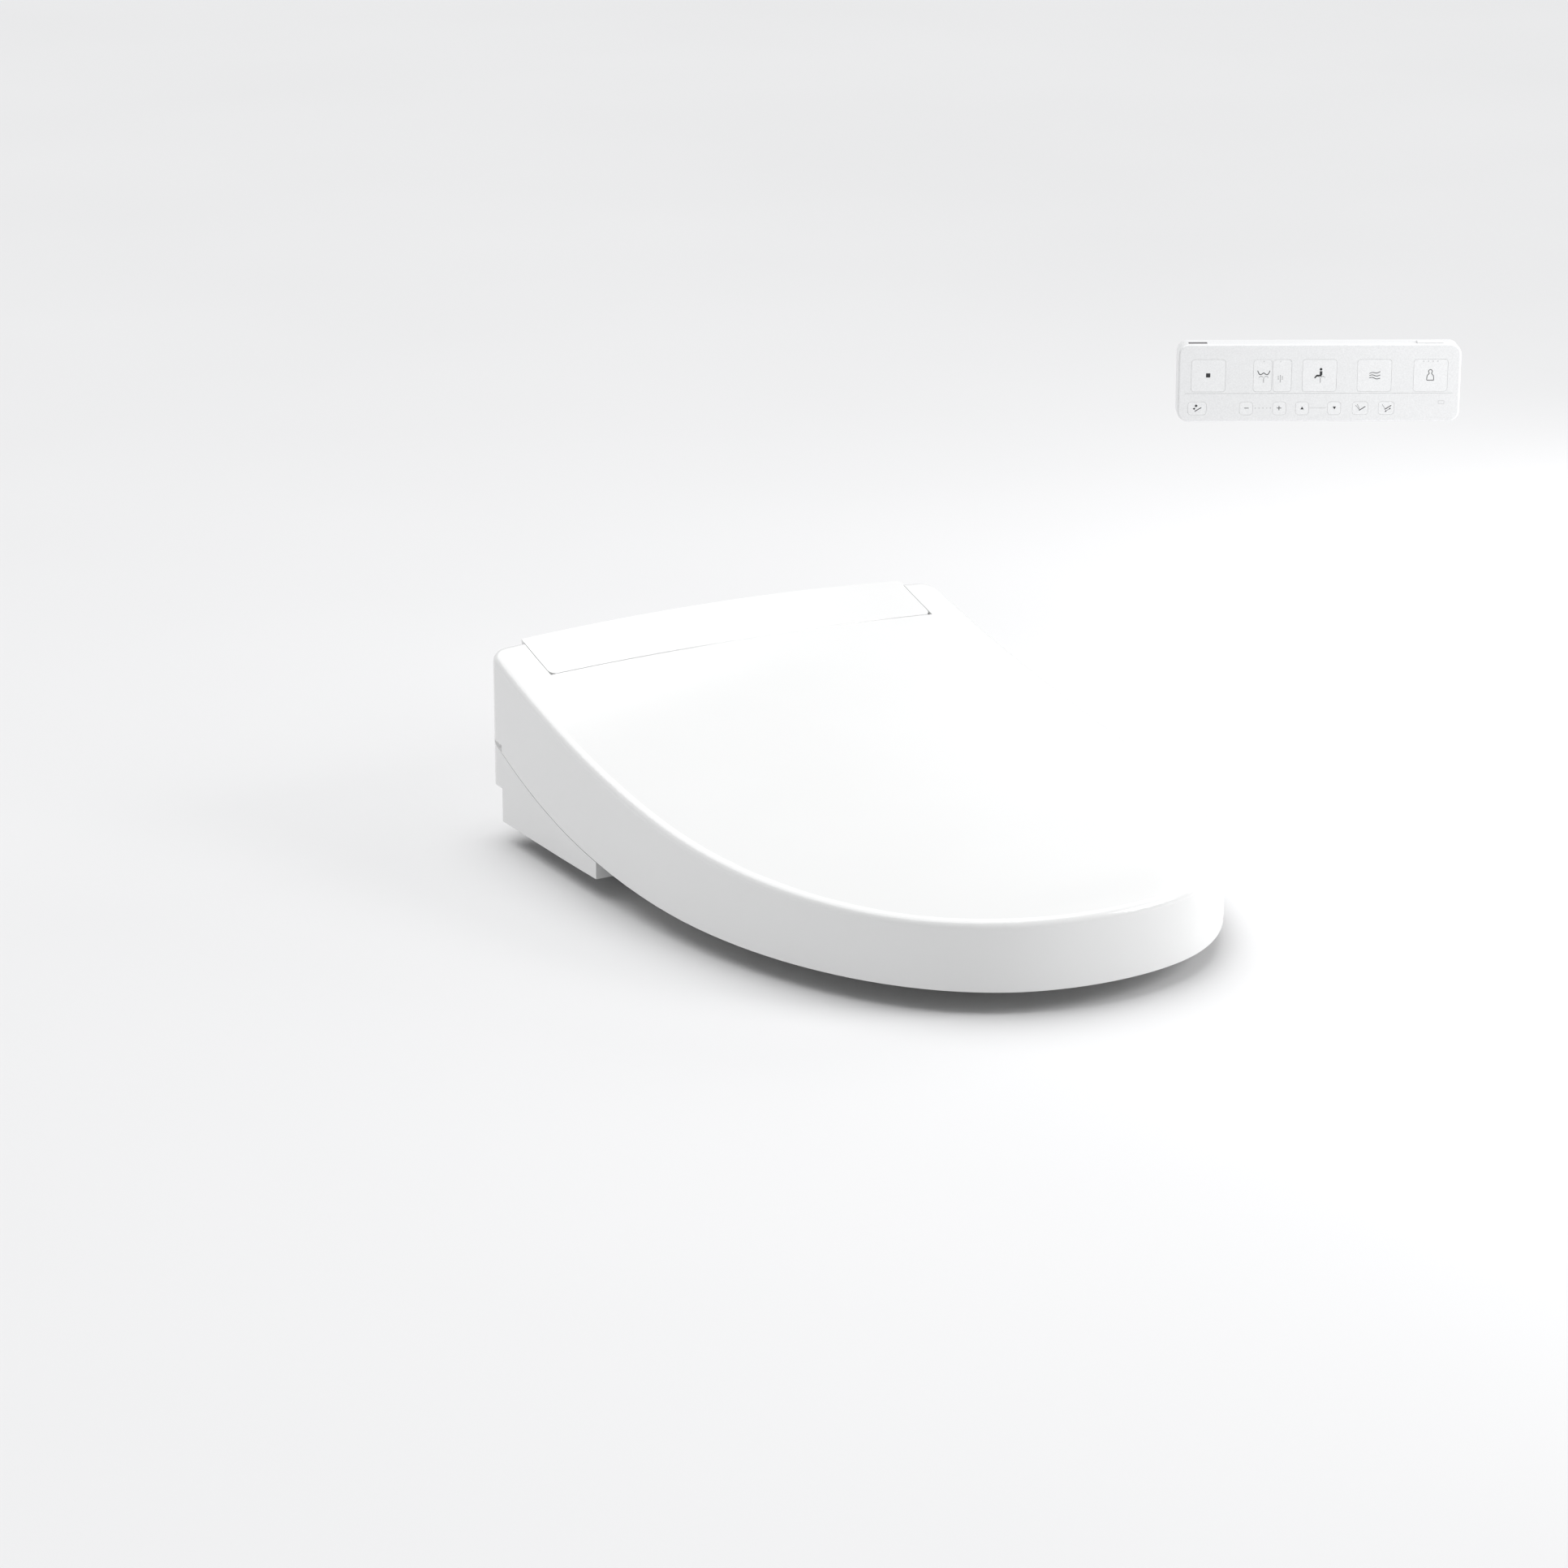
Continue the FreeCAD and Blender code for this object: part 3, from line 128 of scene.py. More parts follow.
# ---------------------------------------------------------------- meshes from arrays
def mesh_object(name, points, faces, body, slot, material, smooth=True):
    """Object from arrays of points and faces that rides on a body."""
    mesh = bpy.data.meshes.new(name)
    mesh.from_pydata(points.tolist(), [], faces.tolist())
    mesh.polygons.foreach_set("use_smooth", np.full(len(faces), smooth))
    mesh.update()
    thing = bpy.data.objects.new(name, mesh)
    bpy.context.scene.collection.objects.link(thing)
    thing.data.materials.append(material)
    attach(thing, body)
    return thing


def grid_faces(rows, columns, wrap_rows, wrap_columns):
    """Quads between neighbouring rows and columns of a grid of points, numbered row by row."""
    row_count = rows if wrap_rows else rows - 1
    column_count = columns if wrap_columns else columns - 1
    i, j = np.meshgrid(np.arange(row_count), np.arange(column_count), indexing="ij")
    next_i, next_j = (i + 1) % rows, (j + 1) % columns
    near, far = i * columns, next_i * columns
    quads = np.stack([near + j, far + j, far + next_j, near + next_j], -1)
    return quads.reshape(-1, 4)


def join(parts):
    """Several (points, faces) pairs of quads as one pair."""
    offset = 0
    points, faces = [], []
    for part_points, part_faces in parts:
        points.append(part_points)
        faces.append(part_faces + offset)
        offset += len(part_points)
    return np.concatenate(points), np.concatenate(faces)


def face_frame(node, inward, up=(0, 0, 1)):
    """Middle of a flat front face of a CAD node, with the directions right, up and outward."""
    co = np.empty(len(NODES[node].data.vertices) * 3, np.float32)
    NODES[node].data.vertices.foreach_get("co", co)
    co = co.reshape(-1, 3).astype(float)
    inward = np.array(inward, float)
    up = np.array(up, float)
    right = np.cross(inward, up)
    across, high, deep = co @ right, co @ up, co @ inward
    middle = right * (across.min() + across.max()) / 2 + up * (high.min() + high.max()) / 2
    origin = middle + inward * deep.min()
    return origin, right, up, -inward


def on_face(place, flat, lift):
    """Points of a drawing (millimetres right and up) raised over a face."""
    origin, right, up, outward = place
    return origin + flat[:, :1] * MM * right + flat[:, 1:2] * MM * up + outward * lift[:, None]


def stroke(place, path, width, closed=False, height=0.05):
    """Printed line: a flat-topped band carried along a path, its section a shallow trapezium."""
    path = np.asarray(path, float)
    if closed:
        ahead = np.roll(path, -1, 0) - np.roll(path, 1, 0)
    else:
        ahead = np.gradient(path, axis=0)
    ahead /= np.linalg.norm(ahead, axis=1, keepdims=True)
    side = np.stack([-ahead[:, 1], ahead[:, 0]], -1)
    half = width / 2
    section = np.array([(-half, 0.0), (-half * 0.86, 1.0), (half * 0.86, 1.0), (half, 0.0)])
    rows = []
    for across, rise in section:
        flat = path + side * across
        rows.append(on_face(place, flat, np.full(len(path), rise * height * MM + PRINT_LIFT)))
    points = np.stack(rows, 1).reshape(-1, 3)
    faces = grid_faces(len(path), 4, closed, True)
    if not closed:
        last = (len(path) - 1) * 4
        faces = np.concatenate([faces, [[0, 1, 2, 3], [last + 3, last + 2, last + 1, last]]])
    return points, faces


def line(*corners, steps=6):
    """Points along straight runs between corners."""
    corners = np.asarray(corners, float)
    runs = [np.linspace(a, b, steps, endpoint=False) for a, b in zip(corners, corners[1:])]
    return np.concatenate(runs + [corners[-1:]])


def arc(centre, radius, start, end, steps=24):
    """Points of a circle's arc between two angles in degrees; radius may be a pair for an ellipse."""
    turn = np.radians(np.linspace(start, end, steps))
    radius_x, radius_y = (radius, radius) if np.isscalar(radius) else radius
    return np.stack([centre[0] + radius_x * np.cos(turn), centre[1] + radius_y * np.sin(turn)], -1)


def patch(place, rim, height=0.05):
    """Printed patch: a low flat-topped dome over a star-shaped outline, shrunk towards its middle."""
    middle = rim.mean(0)
    rows = []
    for share, rise in ((1.0, 0.0), (0.94, 1.0), (0.5, 1.0), (0.02, 1.0)):
        flat = middle + (rim - middle) * share
        rows.append(on_face(place, flat, np.full(len(flat), rise * height * MM + PRINT_LIFT)))
    return np.concatenate(rows), grid_faces(4, len(rim), False, True)[:, ::-1]


def spot(place, centre, radius, power=2.0):
    """Patch over a superellipse: round at power 2, squarish above it and a four-pointed star below 1."""
    angle = np.linspace(0, 2 * np.pi, 24, endpoint=False)
    cosine, sine = np.cos(angle), np.sin(angle)
    rim = np.stack([
        np.sign(cosine) * np.abs(cosine) ** (2 / power), np.sign(sine) * np.abs(sine) ** (2 / power),
    ], -1)
    return patch(place, np.asarray(centre, float) + rim * radius)


def dotted(place, start, end, count, radius=0.24, bow=0.0):
    """Row of spots between two points, bowed upwards by a rise at its middle."""
    share = np.linspace(0, 1, count)
    start, end = np.asarray(start, float), np.asarray(end, float)
    middles = start + (end - start) * share[:, None]
    middles[:, 1] += 4 * bow * share * (1 - share)
    return [spot(place, middle, radius) for middle in middles]


# ---------------------------------------------------------------- finishes
def new_material(name, colour, roughness, metallic=0.0):
    """Material with a Principled shader and its Object coordinates."""
    material = bpy.data.materials.new(name)
    material.use_nodes = True
    tree = material.node_tree
    shader = tree.nodes["Principled BSDF"]
    shader.inputs["Base Color"].default_value = (*colour, 1)
    shader.inputs["Roughness"].default_value = roughness
    shader.inputs["Metallic"].default_value = metallic
    place = tree.nodes.new("ShaderNodeTexCoord")
    return material, tree, shader, place.outputs["Object"]


def noise(tree, place, scale, detail=2.0, stretch=(1, 1, 1)):
    """Noise factor on stretched Object coordinates."""
    mapping = tree.nodes.new("ShaderNodeMapping")
    mapping.inputs["Scale"].default_value = stretch
    tree.links.new(place, mapping.inputs["Vector"])
    pattern = tree.nodes.new("ShaderNodeTexNoise")
    pattern.inputs["Scale"].default_value = scale
    pattern.inputs["Detail"].default_value = detail
    tree.links.new(mapping.outputs["Vector"], pattern.inputs["Vector"])
    return pattern.outputs["Fac"]


def ramp(tree, factor, low, high, start=0.3, end=0.7):
    """Blend between two colours over a stretch of a factor."""
    blend = tree.nodes.new("ShaderNodeValToRGB")
    blend.color_ramp.elements[0].position = start
    blend.color_ramp.elements[0].color = (*low, 1)
    blend.color_ramp.elements[1].position = end
    blend.color_ramp.elements[1].color = (*high, 1)
    tree.links.new(factor, blend.inputs["Fac"])
    return blend.outputs["Color"]


def spread(tree, factor, low, high):
    """Number that follows a factor between two values."""
    remap = tree.nodes.new("ShaderNodeMapRange")
    remap.inputs["To Min"].default_value = low
    remap.inputs["To Max"].default_value = high
    tree.links.new(factor, remap.inputs["Value"])
    return remap.outputs["Result"]


def bump(tree, shader, factor, depth, strength=1.0):
    """Relief of a depth in metres."""
    relief = tree.nodes.new("ShaderNodeBump")
    relief.inputs["Distance"].default_value = depth
    relief.inputs["Strength"].default_value = strength
    tree.links.new(factor, relief.inputs["Height"])
    tree.links.new(relief.outputs["Normal"], shader.inputs["Normal"])


def tinted(colour, share):
    """Colour made lighter or darker by a share."""
    return tuple(min(1.0, channel * share) for channel in colour)


def polished_plastic(name, colour, roughness, ripple=2.5e-6):
    """Injection-moulded gloss plastic: faint tone drift, uneven gloss and a moulded ripple."""
    material, tree, shader, place = new_material(name, colour, roughness)
    shader.inputs["IOR"].default_value = 1.49
    shader.inputs["Coat Weight"].default_value = 0.35
    shader.inputs["Coat Roughness"].default_value = 0.06
    drift = noise(tree, place, 5.0, 3.0)
    tint = ramp(tree, drift, tinted(colour, 0.985), tinted(colour, 1.01))
    tree.links.new(tint, shader.inputs["Base Color"])
    wipe = noise(tree, place, 9.0, 4.0, (1.0, 0.35, 1.0))
    tree.links.new(spread(tree, wipe, roughness * 0.8, roughness * 1.25), shader.inputs["Roughness"])
    bump(tree, shader, noise(tree, place, 420.0, 2.0), ripple)
    return material


def satin_plastic(name, colour, roughness=0.42, grain=1500.0, depth=1.2e-5):
    """Spark-eroded plastic: fine grain in tone, gloss and relief."""
    material, tree, shader, place = new_material(name, colour, roughness)
    fine = noise(tree, place, grain, 3.0)
    tree.links.new(ramp(tree, fine, tinted(colour, 0.94), tinted(colour, 1.03)), shader.inputs["Base Color"])
    tree.links.new(spread(tree, noise(tree, place, 40.0, 3.0), roughness * 0.85, roughness * 1.15),
                   shader.inputs["Roughness"])
    bump(tree, shader, fine, depth)
    return material


def soft_rubber(name, colour):
    """Moulded elastomer: matt, slightly dusty."""
    material, tree, shader, place = new_material(name, colour, 0.7)
    dust = noise(tree, place, 180.0, 5.0)
    tree.links.new(ramp(tree, dust, tinted(colour, 0.85), tinted(colour, 1.1)), shader.inputs["Base Color"])
    bump(tree, shader, dust, 4e-5)
    return material


def drawn_metal(name, colour, roughness, stretch):
    """Drawn or turned metal: streaks along one direction in tone and gloss."""
    material, tree, shader, place = new_material(name, colour, roughness, 1.0)
    streaks = noise(tree, place, 900.0, 3.0, stretch)
    tint = ramp(tree, streaks, tinted(colour, 0.82), tinted(colour, 1.08))
    tree.links.new(tint, shader.inputs["Base Color"])
    tree.links.new(spread(tree, streaks, roughness * 0.7, roughness * 1.4), shader.inputs["Roughness"])
    bump(tree, shader, streaks, 6e-6)
    return material


def circuit_board(name, colour):
    """Solder resist over copper: square tracks seen as lighter green, with a slight step."""
    material, tree, shader, place = new_material(name, colour, 0.35)
    tracks = tree.nodes.new("ShaderNodeTexBrick")
    tracks.inputs["Scale"].default_value = 110.0
    tracks.inputs["Mortar Size"].default_value = 0.035
    tracks.inputs["Color1"].default_value = (*tinted(colour, 0.9), 1)
    tracks.inputs["Color2"].default_value = (*tinted(colour, 1.1), 1)
    tracks.inputs["Mortar"].default_value = (*tinted(colour, 1.9), 1)
    tree.links.new(place, tracks.inputs["Vector"])
    tree.links.new(tracks.outputs["Color"], shader.inputs["Base Color"])
    bump(tree, shader, tracks.outputs["Fac"], 3e-5)
    return material


def wound_foil(name, colour):
    """Heater foil: a snaking element pressed into shiny film."""
    material, tree, shader, place = new_material(name, colour, 0.3, 1.0)
    waves = tree.nodes.new("ShaderNodeTexWave")
    waves.inputs["Scale"].default_value = 45.0
    waves.inputs["Distortion"].default_value = 1.5
    tree.links.new(place, waves.inputs["Vector"])
    tint = ramp(tree, waves.outputs["Fac"], tinted(colour, 0.75), colour)
    tree.links.new(tint, shader.inputs["Base Color"])
    bump(tree, shader, waves.outputs["Fac"], 8e-5)
    return material


def ink(name, colour):
    """Screen-printed ink: nearly matt, a little uneven in tone."""
    material, tree, shader, place = new_material(name, colour, 0.5)
    mottle = noise(tree, place, 2500.0, 2.0)
    tree.links.new(ramp(tree, mottle, tinted(colour, 0.85), tinted(colour, 1.2)), shader.inputs["Base Color"])
    return material


def battery_sleeve(name):
    """Printed sleeve: a dark body with a lighter band along it."""
    material, tree, shader, place = new_material(name, (0.05, 0.07, 0.06), 0.3)
    band = tree.nodes.new("ShaderNodeTexWave")
    band.inputs["Scale"].default_value = 9.0
    tree.links.new(place, band.inputs["Vector"])
    tree.links.new(ramp(tree, band.outputs["Fac"], (0.05, 0.07, 0.06), (0.42, 0.45, 0.38), 0.45, 0.55),
                   shader.inputs["Base Color"])
    return material


def dress(material, *names):
    """Give carried-over pieces a finish."""
    for name in names:
        for slot in NODES[name].material_slots:
            slot.material = material
        if not NODES[name].material_slots:
            NODES[name].data.materials.append(material)


# ---------------------------------------------------------------- operators
class BIDET_OT_finish_nodes(bpy.types.Operator):
    """Give every carried-over piece of the seat and remote its finish"""

    bl_idname = "bidet.finish_nodes"
    bl_label = "Finish the pieces"

    def execute(self, context):
        looks = context.scene.bidet_finish
        shell = tuple(looks.shell_colour)
        gloss = looks.shell_roughness
        dress(polished_plastic("lid_gloss_white", shell, gloss), "lid_shell")
        dress(polished_plastic("cover_gloss_white", tinted(shell, 0.99), gloss * 1.15), "top_cover")
        dress(polished_plastic("case_gloss_white", tinted(shell, 0.97), gloss * 1.3),
              "lower_case", "upper_case", "release_button", "dryer_flap")
        dress(polished_plastic("seat_gloss_white", tuple(looks.seat_colour), gloss * 1.1),
              "seat_top", "seat_base")
        dress(polished_plastic("wand_gloss_white", (0.82, 0.82, 0.80), 0.12), "wand_tube", "nozzle_tip")
        remote = tuple(looks.remote_colour)
        dress(satin_plastic("remote_satin_grey", remote, 0.30, 900.0, 4e-6), "remote_front", "remote_back",
              "battery_door", "wall_hanger")
        keys = [name for name in NODES if name.startswith("wall_remote_key")]
        dress(satin_plastic("key_satin_grey", tinted(remote, 1.03), 0.28, 900.0, 3e-6), *keys, "top_button")
        dress(satin_plastic("natural_nylon", (0.62, 0.61, 0.57)),
              "nozzle_guide", "drive_pinion", "hinge_dampers")
        dress(satin_plastic("filled_grey_plastic", (0.36, 0.37, 0.38), 0.5), "base_plate", "dryer_housing",
              "deodorizer_housing", "heater_tank", "solenoid_valve")
        dress(satin_plastic("black_plastic", (0.025, 0.025, 0.028), 0.38), "dryer_impeller",
              "deodorizer_impeller", "power_gland")
        dress(polished_plastic("infrared_window", (0.02, 0.012, 0.02), 0.08), "ir_window")
        dress(satin_plastic("filter_grey", (0.30, 0.31, 0.30), 0.6, 700.0, 5e-5), "deodorizer_filter")
        dress(soft_rubber("buffer_rubber", (0.55, 0.55, 0.53)), "lid_bumpers", "seat_bumpers", "base_pads")
        dress(soft_rubber("silicone_hose", (0.60, 0.62, 0.62)), "water_tubes")
        dress(drawn_metal("pin_steel", (0.62, 0.62, 0.63), 0.28, (0.05, 1, 1)), "hinge_pins", "case_screws",
              "battery_contacts")
        dress(drawn_metal("motor_steel", (0.50, 0.51, 0.52), 0.34, (0.05, 1, 1)), "nozzle_motor", "air_pump")
        dress(drawn_metal("turned_brass", (0.72, 0.52, 0.24), 0.25, (1, 1, 8)), "inlet_fitting")
        dress(circuit_board("green_board", (0.02, 0.13, 0.06)),
              "control_board", "power_board", "remote_board")
        dress(wound_foil("heater_foil", (0.75, 0.75, 0.76)), "seat_heater", "dryer_heater")
        dress(battery_sleeve("battery_sleeve"), "batteries")
        return {"FINISHED"}


def remote_inward():
    """Direction in which the remote's keys are pressed."""
    for joint in frame["joints"]:
        if joint["name"] == "wall_remote_key_front_press":
            return joint["axis"]
    raise RuntimeError("the remote's front key has no joint")


def spray(place, x, z):
    """Dotted jet that opens to both sides from its top."""
    return (
        dotted(place, (x, z - 3.2), (x, z), 6)
        + dotted(place, (x - 0.7, z + 0.8), (x - 3.4, z + 0.6), 5, bow=0.7)
        + dotted(place, (x + 0.7, z + 0.8), (x + 3.4, z + 0.6), 5, bow=0.7)
    )


def draw_stop(place):
    """Filled square."""
    return [spot(place, (-0.2, 0.3), 1.65, power=9.0)]


def draw_rear(place):
    """Seat from behind, two curves that meet in a point, over a jet."""
    across = np.linspace(-4.7, 4.7, 41)
    share = np.abs(across) / 2.6
    inner = 0.8 + 1.5 * np.clip(1 - share, 0, 1) ** 1.7
    outer = 3.1 * (np.clip(share - 1, 0, 1) / 0.81) ** 2
    return [stroke(place, np.stack([across + 0.8, inner + outer], -1), 0.6)] + spray(place, 0.8, -1.9)


def draw_soft(place):
    """Three dotted jets, the middle one longest."""
    return (
        dotted(place, (-1.45, -5.0), (-1.45, 0.3), 8)
        + dotted(place, (-3.0, -2.8), (-3.0, -0.6), 4)
        + dotted(place, (0.1, -2.8), (0.1, -0.6), 4)
    )


def draw_front(place):
    """Seated figure over a jet."""
    return [
        spot(place, (1.0, 4.9), 1.05),
        stroke(place, line((1.1, 3.4), (1.1, 0.4)), 2.0),
        stroke(place, line((1.6, 0.0), (-2.3, 0.0)), 1.3),
        stroke(place, line((-2.0, 0.2), (-3.7, -1.9)), 1.0),
    ] + spray(place, 0.7, -2.0)


def draw_dryer(place):
    """Three waves of air, fanning out to one side."""
    across = np.linspace(-3.8, 4.4, 31)
    rows = ((2.1, 0.13), (0.0, 0.0), (-2.1, -0.1))
    return [
        stroke(place, np.stack([across, rise + tilt * across - 0.45 * np.sin(across * 0.9)], -1), 0.5)
        for rise, tilt in rows
    ]


def draw_user(place):
    """Outline of a head and shoulders."""
    head = arc((-0.2, 3.0), 1.45, -55, 235, 24)
    body = line(
        (-1.1, 1.4), (-2.5, -0.1), (-2.8, -1.4), (-2.8, -3.8),
        (2.4, -3.8), (2.4, -1.4), (2.1, -0.1), (0.7, 1.4),
    )
    return [stroke(place, np.concatenate([head, body]), 0.5, closed=True)]


def draw_clean(place):
    """Wand under two sparkles."""
    return [
        stroke(place, line((-1.8, -2.3), (3.2, 0.7)), 0.6),
        spot(place, (-0.8, 2.1), 1.4, power=0.75), spot(place, (-2.3, -0.2), 1.1, power=0.75),
    ]


def draw_minus(place):
    """Short bar."""
    return [stroke(place, line((-1.4, 0.2), (2.0, 0.2)), 0.5)]


def draw_plus(place):
    """Two crossed bars."""
    return [
        stroke(place, line((-1.9, 0.2), (1.5, 0.2)), 0.5),
        stroke(place, line((-0.2, -1.5), (-0.2, 1.9)), 0.5),
    ]


def draw_up(place):
    """Filled triangle pointing up."""
    return [patch(place, line((1.25, -0.9), (0.0, 1.35), (-1.25, -0.9), (1.25, -0.9), steps=4)[:-1])]


def draw_down(place):
    """Filled triangle pointing down."""
    return [patch(place, line((1.5, 1.25), (-1.0, 1.25), (0.25, -1.0), (1.5, 1.25), steps=4)[:-1])]


def draw_pulse(place):
    """Wand with a widening dotted jet."""
    return (
        [stroke(place, line((-0.8, -1.8), (4.0, 1.3)), 0.6)]
        + dotted(place, (-1.0, -0.9), (-3.3, 2.0), 6) + dotted(place, (-0.6, -0.6), (-2.0, 2.7), 6)
    )


def draw_swing(place):
    """Wand with a dotted jet and a double arrow."""
    return [
        stroke(place, line((-1.1, -1.0), (3.8, 2.1)), 0.6),
        stroke(place, line((-0.4, -2.4), (2.9, -0.4)), 0.3),
        patch(place, line((-1.1, -2.9), (0.4, -2.8), (-0.3, -1.6), (-1.1, -2.9), steps=4)[:-1]),
        patch(place, line((3.6, 0.1), (2.1, 0.0), (2.8, -1.2), (3.6, 0.1), steps=4)[:-1]),
    ] + dotted(place, (-2.9, 2.5), (-0.9, -0.7), 6)


DRAWINGS = {
    "stop": draw_stop, "rear": draw_rear, "soft": draw_soft, "front": draw_front, "dryer": draw_dryer,
    "user": draw_user, "clean": draw_clean, "minus": draw_minus, "plus": draw_plus, "up": draw_up,
    "down": draw_down, "pulse": draw_pulse, "swing": draw_swing,
}
LAMPS = {"rear": (0.8,), "soft": (-1.45,), "user": (-5.6, -2.0, 1.6, 5.2)}
LAMP_RISE = 11.0


class BIDET_OT_remote_prints(bpy.types.Operator):
    """Print the symbols on the remote's keys and face"""

    bl_idname = "bidet.remote_prints"
    bl_label = "Print the remote"

    def execute(self, context):
        looks = context.scene.bidet_finish
        dark = ink("symbol_ink", tuple(looks.print_colour))
        pale = ink("pale_ink", tinted(tuple(looks.remote_colour), 0.72))
        inward = remote_inward()
        for kind, draw in DRAWINGS.items():
            place = face_frame(f"wall_remote_key_{kind}", inward)
            mesh_object(f"print_{kind}", *join(draw(place)), f"key_{kind}", "key_plastic", dark, smooth=False)
            if kind in LAMPS:
                lamps = [spot(place, (x, LAMP_RISE), 0.5) for x in LAMPS[kind]]
                mesh_object(f"lamps_{kind}", *join(lamps), f"key_{kind}", "key_plastic", pale, smooth=False)
        face = face_frame("remote_front", inward)
        upper = self.height_of("front", face, inward)
        lower = self.height_of("plus", face, inward)
        divider = (upper + lower) / 2 - 1.1
        cell = line((91.7, 4.5), (96.1, 4.5), (96.1, 6.9), (91.7, 6.9), (91.7, 4.5), steps=4)[:-1]
        cell[:, 1] += lower - 1.2
        marks = [
            stroke(face, line((-102.5, divider), (102.5, divider), steps=30), 0.35, height=0.03),
            stroke(face, line((-6.4, lower + 0.2), (5.9, lower + 0.2)), 0.3, height=0.03),
            stroke(face, cell, 0.35, closed=True),
        ] + dotted(face, (-48.4, lower + 0.2), (-36.8, lower + 0.2), 5, radius=0.5)
        mesh_object("print_scales", *join(marks), "remote", "remote_plastic", pale, smooth=False)
        return {"FINISHED"}

    def height_of(self, kind, face, inward):
        """Height of a key's middle over the middle of the face, in millimetres."""
        key_middle = face_frame(f"wall_remote_key_{kind}", inward)[0]
        return float((key_middle - face[0]) @ face[2]) / MM


class BIDET_OT_inlet_thread(bpy.types.Operator):
    """Roll the thread onto the water inlet"""

    bl_idname = "bidet.inlet_thread"
    bl_label = "Cut the inlet thread"

    def execute(self, context):
        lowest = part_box("inlet_fitting")[0].z
        mount = next(item for item in frame["record"]["mounts"] if item["name"] == "water_inlet")
        radius = mount["dims"]["r_mm"] * MM
        length = mount["dims"]["length_mm"] * MM
        axis_x, axis_y = mount["pos_m"][0], mount["pos_m"][1]
        pitch, turns = 1.814 * MM, 6.5
        around = np.linspace(0, 2 * np.pi * turns, 260)
        section = np.array([(-0.35, -0.25), (-0.08, 0.22), (0.08, 0.22), (0.35, -0.25)])
        rise = lowest + 1.2 * MM + pitch * around / (2 * np.pi)
        fade = np.clip(np.minimum(around, around[-1] - around) / 1.5, 0, 1)
        rows = []
        for along, out in section:
            reach = radius + (out * fade - 0.25 * (1 - fade)) * MM
            rows.append(np.stack([
                axis_x + reach * np.cos(around), axis_y + reach * np.sin(around), rise + along * pitch,
            ], -1))
        points = np.stack(rows, 1).reshape(-1, 3)
        faces = grid_faces(len(around), 4, False, True)
        last = (len(around) - 1) * 4
        ends = np.array([[0, 1, 2, 3], [last + 3, last + 2, last + 1, last]])
        brass = drawn_metal("thread_brass", (0.74, 0.54, 0.26), 0.22, (1, 1, 8))
        mesh_object("inlet_thread", points, np.concatenate([faces, ends]), "main_unit", "brass", brass)
        if length < pitch * turns:
            raise RuntimeError("the thread is longer than the inlet")
        return {"FINISHED"}


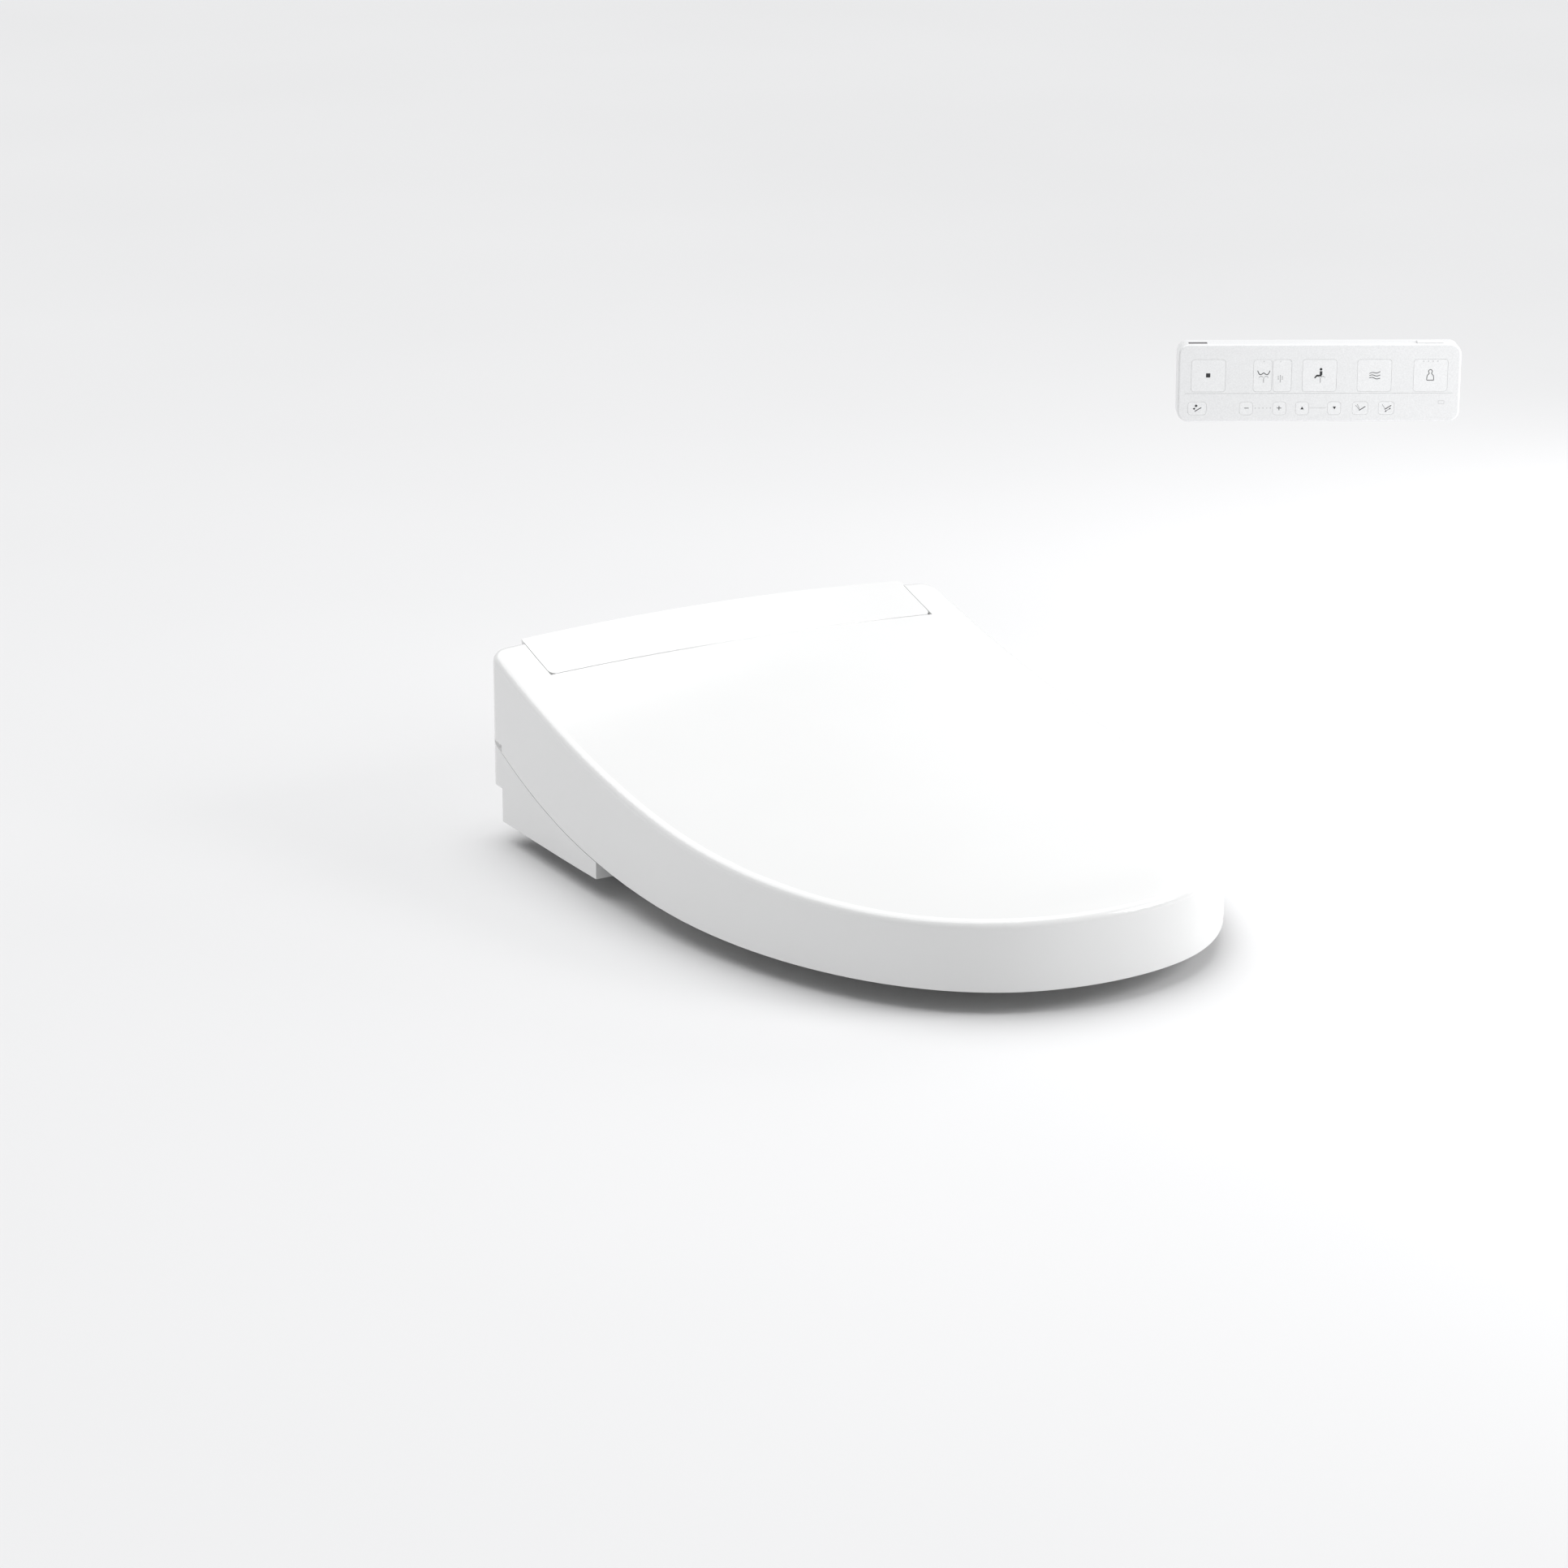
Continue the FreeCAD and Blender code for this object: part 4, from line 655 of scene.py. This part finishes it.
class BIDET_OT_stage(bpy.types.Operator):
    """Lay the pale floor, hang the soft lights and set the camera"""

    bl_idname = "bidet.stage"
    bl_label = "Set the stage"

    def execute(self, context):
        scene = context.scene
        self.lay_floor(cad_box[0].z - 1.5 * MM)
        self.hang_sky_light("ceiling_light", towards=(-0.05, 0.35, 1.0), strength=2.15,
                            spread_angle=math.radians(70))
        self.hang_light("side_light", place=(1.5, -0.2, 0.30), target=(0.0, -0.3, 0.03), size=0.8, power=9.0)
        self.hang_light("panel_light", place=(0.95, -1.05, 0.75), target=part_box("remote_front")[0],
                        size=0.6, power=7.5)
        world = bpy.data.worlds.new("pale_room")
        world.use_nodes = True
        world.node_tree.nodes["Background"].inputs["Color"].default_value = (0.99, 0.995, 1.0, 1)
        world.node_tree.nodes["Background"].inputs["Strength"].default_value = 0.46
        scene.world = world
        scene.view_settings.view_transform = "Standard"
        self.set_camera(scene)
        return {"FINISHED"}

    def lay_floor(self, level):
        """Large square plane whose far edge shows only from low views."""
        half = 12.0
        square = ((-half, -half), (half, -half), (half, half), (-half, half))
        mesh = bpy.data.meshes.new("floor")
        mesh.from_pydata([(x, y, level) for x, y in square], [], [(0, 1, 2, 3)])
        floor = bpy.data.objects.new("floor", mesh)
        bpy.context.scene.collection.objects.link(floor)
        material, tree, shader, place = new_material("pale_floor", (0.74, 0.74, 0.745), 0.8)
        cloud = noise(tree, place, 1.5, 2.0)
        tint = ramp(tree, cloud, (0.735, 0.735, 0.74), (0.75, 0.75, 0.755))
        tree.links.new(tint, shader.inputs["Base Color"])
        floor.data.materials.append(material)

    def hang_sky_light(self, name, towards, strength, spread_angle):
        """Even light from one side of the room, as soft as the angle it fills."""
        lamp = bpy.data.lights.new(name, "SUN")
        lamp.angle = spread_angle
        lamp.energy = strength
        holder = bpy.data.objects.new(name, lamp)
        holder.location = Vector(towards)
        holder.rotation_euler = Vector(towards).to_track_quat("Z", "Y").to_euler()
        bpy.context.scene.collection.objects.link(holder)

    def hang_light(self, name, place, target, size, power):
        """Square area light that looks at a target."""
        lamp = bpy.data.lights.new(name, "AREA")
        lamp.size = size
        lamp.energy = power
        holder = bpy.data.objects.new(name, lamp)
        holder.location = place
        holder.rotation_euler = (Vector(target) - Vector(place)).to_track_quat("-Z", "Y").to_euler()
        bpy.context.scene.collection.objects.link(holder)

    def set_camera(self, scene):
        """Camera at an azimuth and elevation from the middle of the lid, moved sideways to frame it."""
        eye = scene.bidet_view
        middle = Vector((0, -0.2, 0.06))
        azimuth, elevation = eye.azimuth, eye.elevation
        level = math.cos(elevation)
        back = Vector((math.sin(azimuth) * level, -math.cos(azimuth) * level, math.sin(elevation)))
        right = Vector((math.cos(azimuth), math.sin(azimuth), 0))
        up = back.cross(right)
        camera = bpy.data.cameras.new("camera")
        camera.sensor_width = 36
        camera.lens = eye.lens
        camera.clip_end = 100
        holder = bpy.data.objects.new("camera", camera)
        holder.rotation_mode = "QUATERNION"
        holder.rotation_quaternion = (-back).to_track_quat("-Z", "Y")
        holder.location = middle + back * eye.distance - right * eye.right_of_middle + up * eye.below_middle
        scene.collection.objects.link(holder)
        scene.camera = holder


class BIDET_PT_panel(bpy.types.Panel):
    """Sidebar panel of the bidet seat"""

    bl_label = "Bidet Seat"
    bl_idname = "BIDET_PT_panel"
    bl_space_type = "VIEW_3D"
    bl_region_type = "UI"
    bl_category = "Bidet Seat"

    def draw(self, context):
        layout = self.layout
        for name in FinishSettings.__annotations__:
            layout.prop(context.scene.bidet_finish, name)
        for name in ViewSettings.__annotations__:
            layout.prop(context.scene.bidet_view, name)
        for operator in OPERATORS:
            layout.operator(operator.bl_idname)


OPERATORS = (BIDET_OT_finish_nodes, BIDET_OT_remote_prints, BIDET_OT_inlet_thread, BIDET_OT_stage)
CLASSES = (FinishSettings, ViewSettings, *OPERATORS, BIDET_PT_panel)


def register():
    """Register the classes and their settings."""
    for item in CLASSES:
        bpy.utils.register_class(item)
    bpy.types.Scene.bidet_finish = PointerProperty(type=FinishSettings)
    bpy.types.Scene.bidet_view = PointerProperty(type=ViewSettings)


def unregister():
    """Remove the settings and classes."""
    del bpy.types.Scene.bidet_view
    del bpy.types.Scene.bidet_finish
    for item in reversed(CLASSES):
        bpy.utils.unregister_class(item)


def main():
    """Build every piece and the stage."""
    register()
    bpy.ops.bidet.finish_nodes()
    bpy.ops.bidet.remote_prints()
    bpy.ops.bidet.inlet_thread()
    bpy.ops.bidet.stage()


if __name__ == "__main__":
    main()
